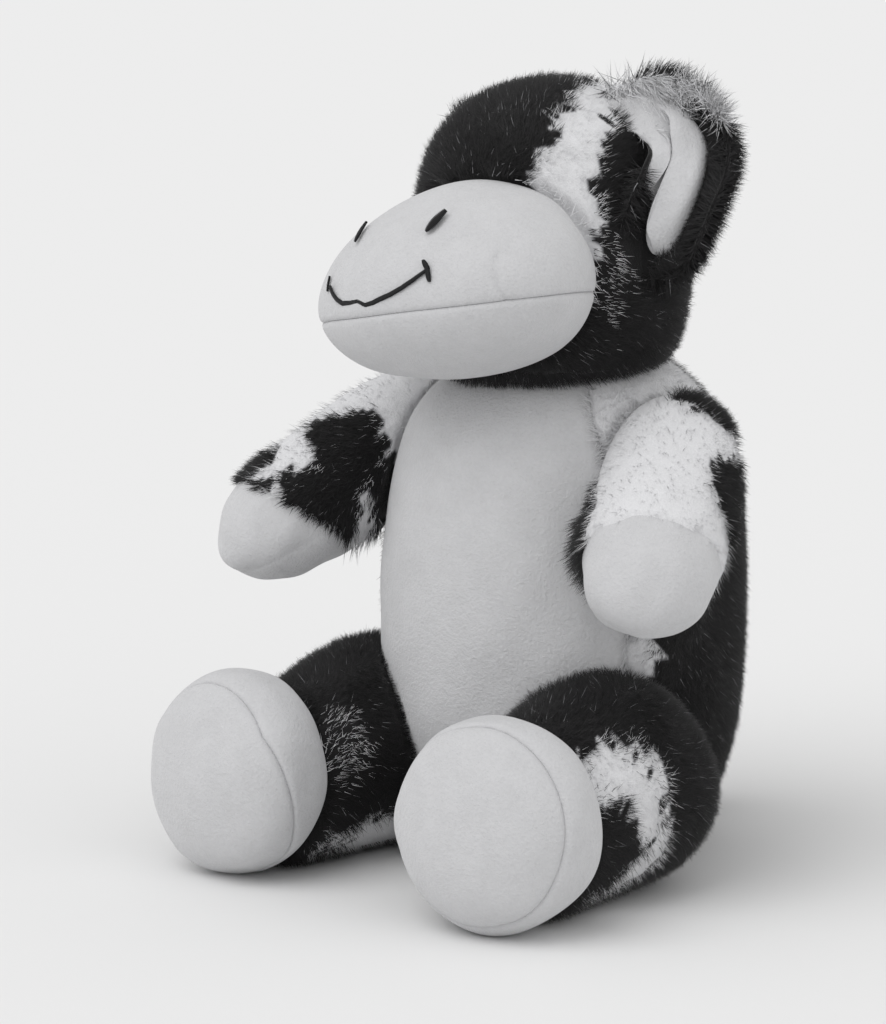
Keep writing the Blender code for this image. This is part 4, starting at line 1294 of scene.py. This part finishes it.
for side, word in SIDES:
    arm_pieces(word, side)
    leg_pieces(word, side)


# Ears


def ear_pieces(word, side):
    """An ear's backing, lining and fur."""
    place, root, back, lining = ears[word]
    tone_of = toned(0, EAR_PATCHES[word])
    outward = Vector(place[:3, 0]) * side
    cloth = backing(f"ear_{word}_backing", back, tone_of, sink=0.0)
    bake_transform(cloth)
    replace(cloth, None, "white_fur", 0.3, f"ear_{word}_back")
    last = lining.grid.shape[0] - 1
    rings = skin_rings(lining, 0, last, FINE_STEP, lambda p: -ripple(p, 14 * MM, 81) * 0.3 * MM)
    pad = closed_piece(f"ear_{word}_lining_pile", rings, PILE)
    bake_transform(pad)
    replace(pad, None, "white_short_pile", 0.4, f"ear_{word}_lining")

    def shows(points):
        spots = lining.grid.reshape(-1, 3)
        near = np.full(len(points), 1.0)
        for begin in range(0, len(spots), 40):
            near = np.minimum(near, nearest(points, spots[begin:begin + 40]))
        return (near > (2.0 - 1.3 * tone_of(points)) * MM) & (head.outside(points) > 0)

    def comb(points):
        """Outwards and back, but forwards over the lining where the fur is white."""
        white = tone_of(points)[:, None]
        plain = np.array(outward) * 0.7 - 0.3 * UP + place[:3, 1] * 0.5
        over = np.array(outward) * 0.3 - 0.7 * UP - place[:3, 1] * 0.9
        return plain + white * (over - plain)

    fur = comb_fur(f"ear_{word}_fur", back, EAR_FUR_PER_MM2, shows, comb, tone_of,
                   lambda p: (6.2 + 3.0 * tone_of(p)) * MM, lambda p: 30 + 26 * tone_of(p),
                   500 if side > 0 else 530, sink=0.4 * MM, white_share=0.8, lift=(-0.3, -1.1, 1.6))
    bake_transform(fur)


for side, word in SIDES:
    ear_pieces(word, side)


# Tail


def tail_pieces():
    """A cord that bows back by a quarter sine, and a tuft below it whose rows are circles."""
    low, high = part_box("tail")
    root = np.array(((low.x + high.x) / 2, low.y + 4.5 * MM, TAIL_ROOT))
    drop = TAIL_ROOT - TUFT_LENGTH - 0.8 * MM
    share = np.linspace(0, 1, 15)
    bow = 3 * MM * np.sin(math.pi / 2 * share)
    spine = root + np.stack((0 * share, bow, -drop * share), -1)
    girth = 3.2 * MM * np.sqrt(np.clip(1 - (2 * share - 1) ** 16, 0, 1))
    turns = np.arange(14) * math.tau / 14
    ring = np.stack((np.cos(turns), np.sin(turns), 0 * turns), -1)
    cord = Skin(spine[:, None] + ring[None] * girth[:, None, None])
    tone_of = toned(1, ())
    cloth = backing("tail_backing", cord, tone_of, sink=0.0)
    replace(cloth, "tail", "white_fur", 0.6, "tail")

    def down(points):
        return np.tile(-UP, (len(points), 1))

    fur = comb_fur("tail_fur", cord, TAIL_FUR_PER_MM2, lambda p: torso.outside(p) > 0.5 * MM, down, tone_of,
                   5.5 * MM, 62, 600, sink=0.2 * MM)
    place = Matrix.Translation(Vector(spine[-1] - 0.3 * MM * UP)) @ Matrix.Rotation(math.pi, 4, "X")
    rows = [(along * TUFT_LENGTH, full * 8 * MM, full * 8 * MM, 0, 0) for along, full in TUFT_ROWS]
    tuft = soft_form(rows, 8, place)
    black_tone = toned(0, ())
    core = backing("tail_tuft_backing", tuft, black_tone, sink=2.6 * MM)
    replace(core, "tail", "black_fur", 0.6, "tail_tuft")
    hair = comb_fur("tail_tuft_fur", tuft, TUFT_FUR_PER_MM2, lambda p: p[:, 2] > -1, down, black_tone,
                    9.0 * MM, 66, 630, sink=2.4 * MM)
    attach(fur, "tail")
    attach(hair, "tail")


tail_pieces()


# Solids that are shown as they are

limb_stuffing = [f"{limb}_{word}_stuffing" for limb in ("arm", "leg") for _, word in SIDES]
for finish, names in (
    (FIBRE, ["torso_stuffing", "head_stuffing", *limb_stuffing]),
    (PELLETS, ["seat_bean_pouch"]),
    (THREAD, ["neck_seam", "back_closing_seam"]),
):
    for name in names:
        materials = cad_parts[name].data.materials
        materials.clear()
        materials.append(finish)


# Studio


def build_studio():
    """A wide pale floor, soft light from above and the left, and an even pale surround."""
    reach = 60.0
    corners = np.array(((-reach, -reach, 0), (reach, -reach, 0), (reach, reach, 0), (-reach, reach, 0)))
    material, _, shader = new_material("studio_floor", 0.95)
    shader.inputs["Base Color"].default_value = (0.80, 0.80, 0.80, 1)
    shader.inputs["Specular IOR Level"].default_value = 0.0
    floor = new_piece("studio_floor", corners, [np.array(((0, 1, 2, 3),))], material, smooth=False)
    world = bpy.data.worlds.new("studio_surround")
    bpy.context.scene.world = world
    world.use_nodes = True
    back = world.node_tree.nodes["Background"]
    back.inputs["Color"].default_value = (1, 1, 1, 1)
    back.inputs["Strength"].default_value = 0.74
    for name, turn, strength, width in (
        ("key_light", (38, 0, 350), 1.1, 50),
        ("fill_light", (60, 0, 80), 0.25, 90),
    ):
        lamp = bpy.data.lights.new(name, "SUN")
        lamp.energy = strength
        lamp.angle = math.radians(width)
        body = bpy.data.objects.new(name, lamp)
        body.rotation_euler = [math.radians(value) for value in turn]
        bpy.context.scene.collection.objects.link(body)


def build_camera():
    """The photograph's view: 40 degrees round towards the left side and 9.2 degrees up.

    The frame's origin, on the ground, is seen at the pixel seen_across, seen_down.
    """
    azimuth = math.radians(40.0)
    rise = math.radians(9.2)
    distance = 1.10
    lens = 123.0
    sensor = 36
    wide, tall = 886, 1024
    seen_across, seen_down = 562, 838
    right = Vector((math.cos(azimuth), math.sin(azimuth), 0))
    toward = Vector((math.sin(azimuth) * math.cos(rise), -math.cos(azimuth) * math.cos(rise), math.sin(rise)))
    above = toward.cross(right)
    pixel = distance / (lens / sensor * tall)
    aside = (wide / 2 - seen_across) * pixel
    lift = (seen_down - tall / 2) * pixel
    spot = right * aside + above * lift + toward * distance
    data = bpy.data.cameras.new("photo_camera")
    data.lens = lens
    data.sensor_width = sensor
    data.clip_start = 0.01
    data.clip_end = 200
    camera = bpy.data.objects.new("photo_camera", data)
    camera.matrix_world = Matrix.Translation(spot) @ Matrix((right, above, toward)).transposed().to_4x4()
    bpy.context.scene.collection.objects.link(camera)
    bpy.context.scene.camera = camera
    bpy.context.scene.view_settings.view_transform = "Standard"


build_studio()
build_camera()
bpy.context.view_layer.update()
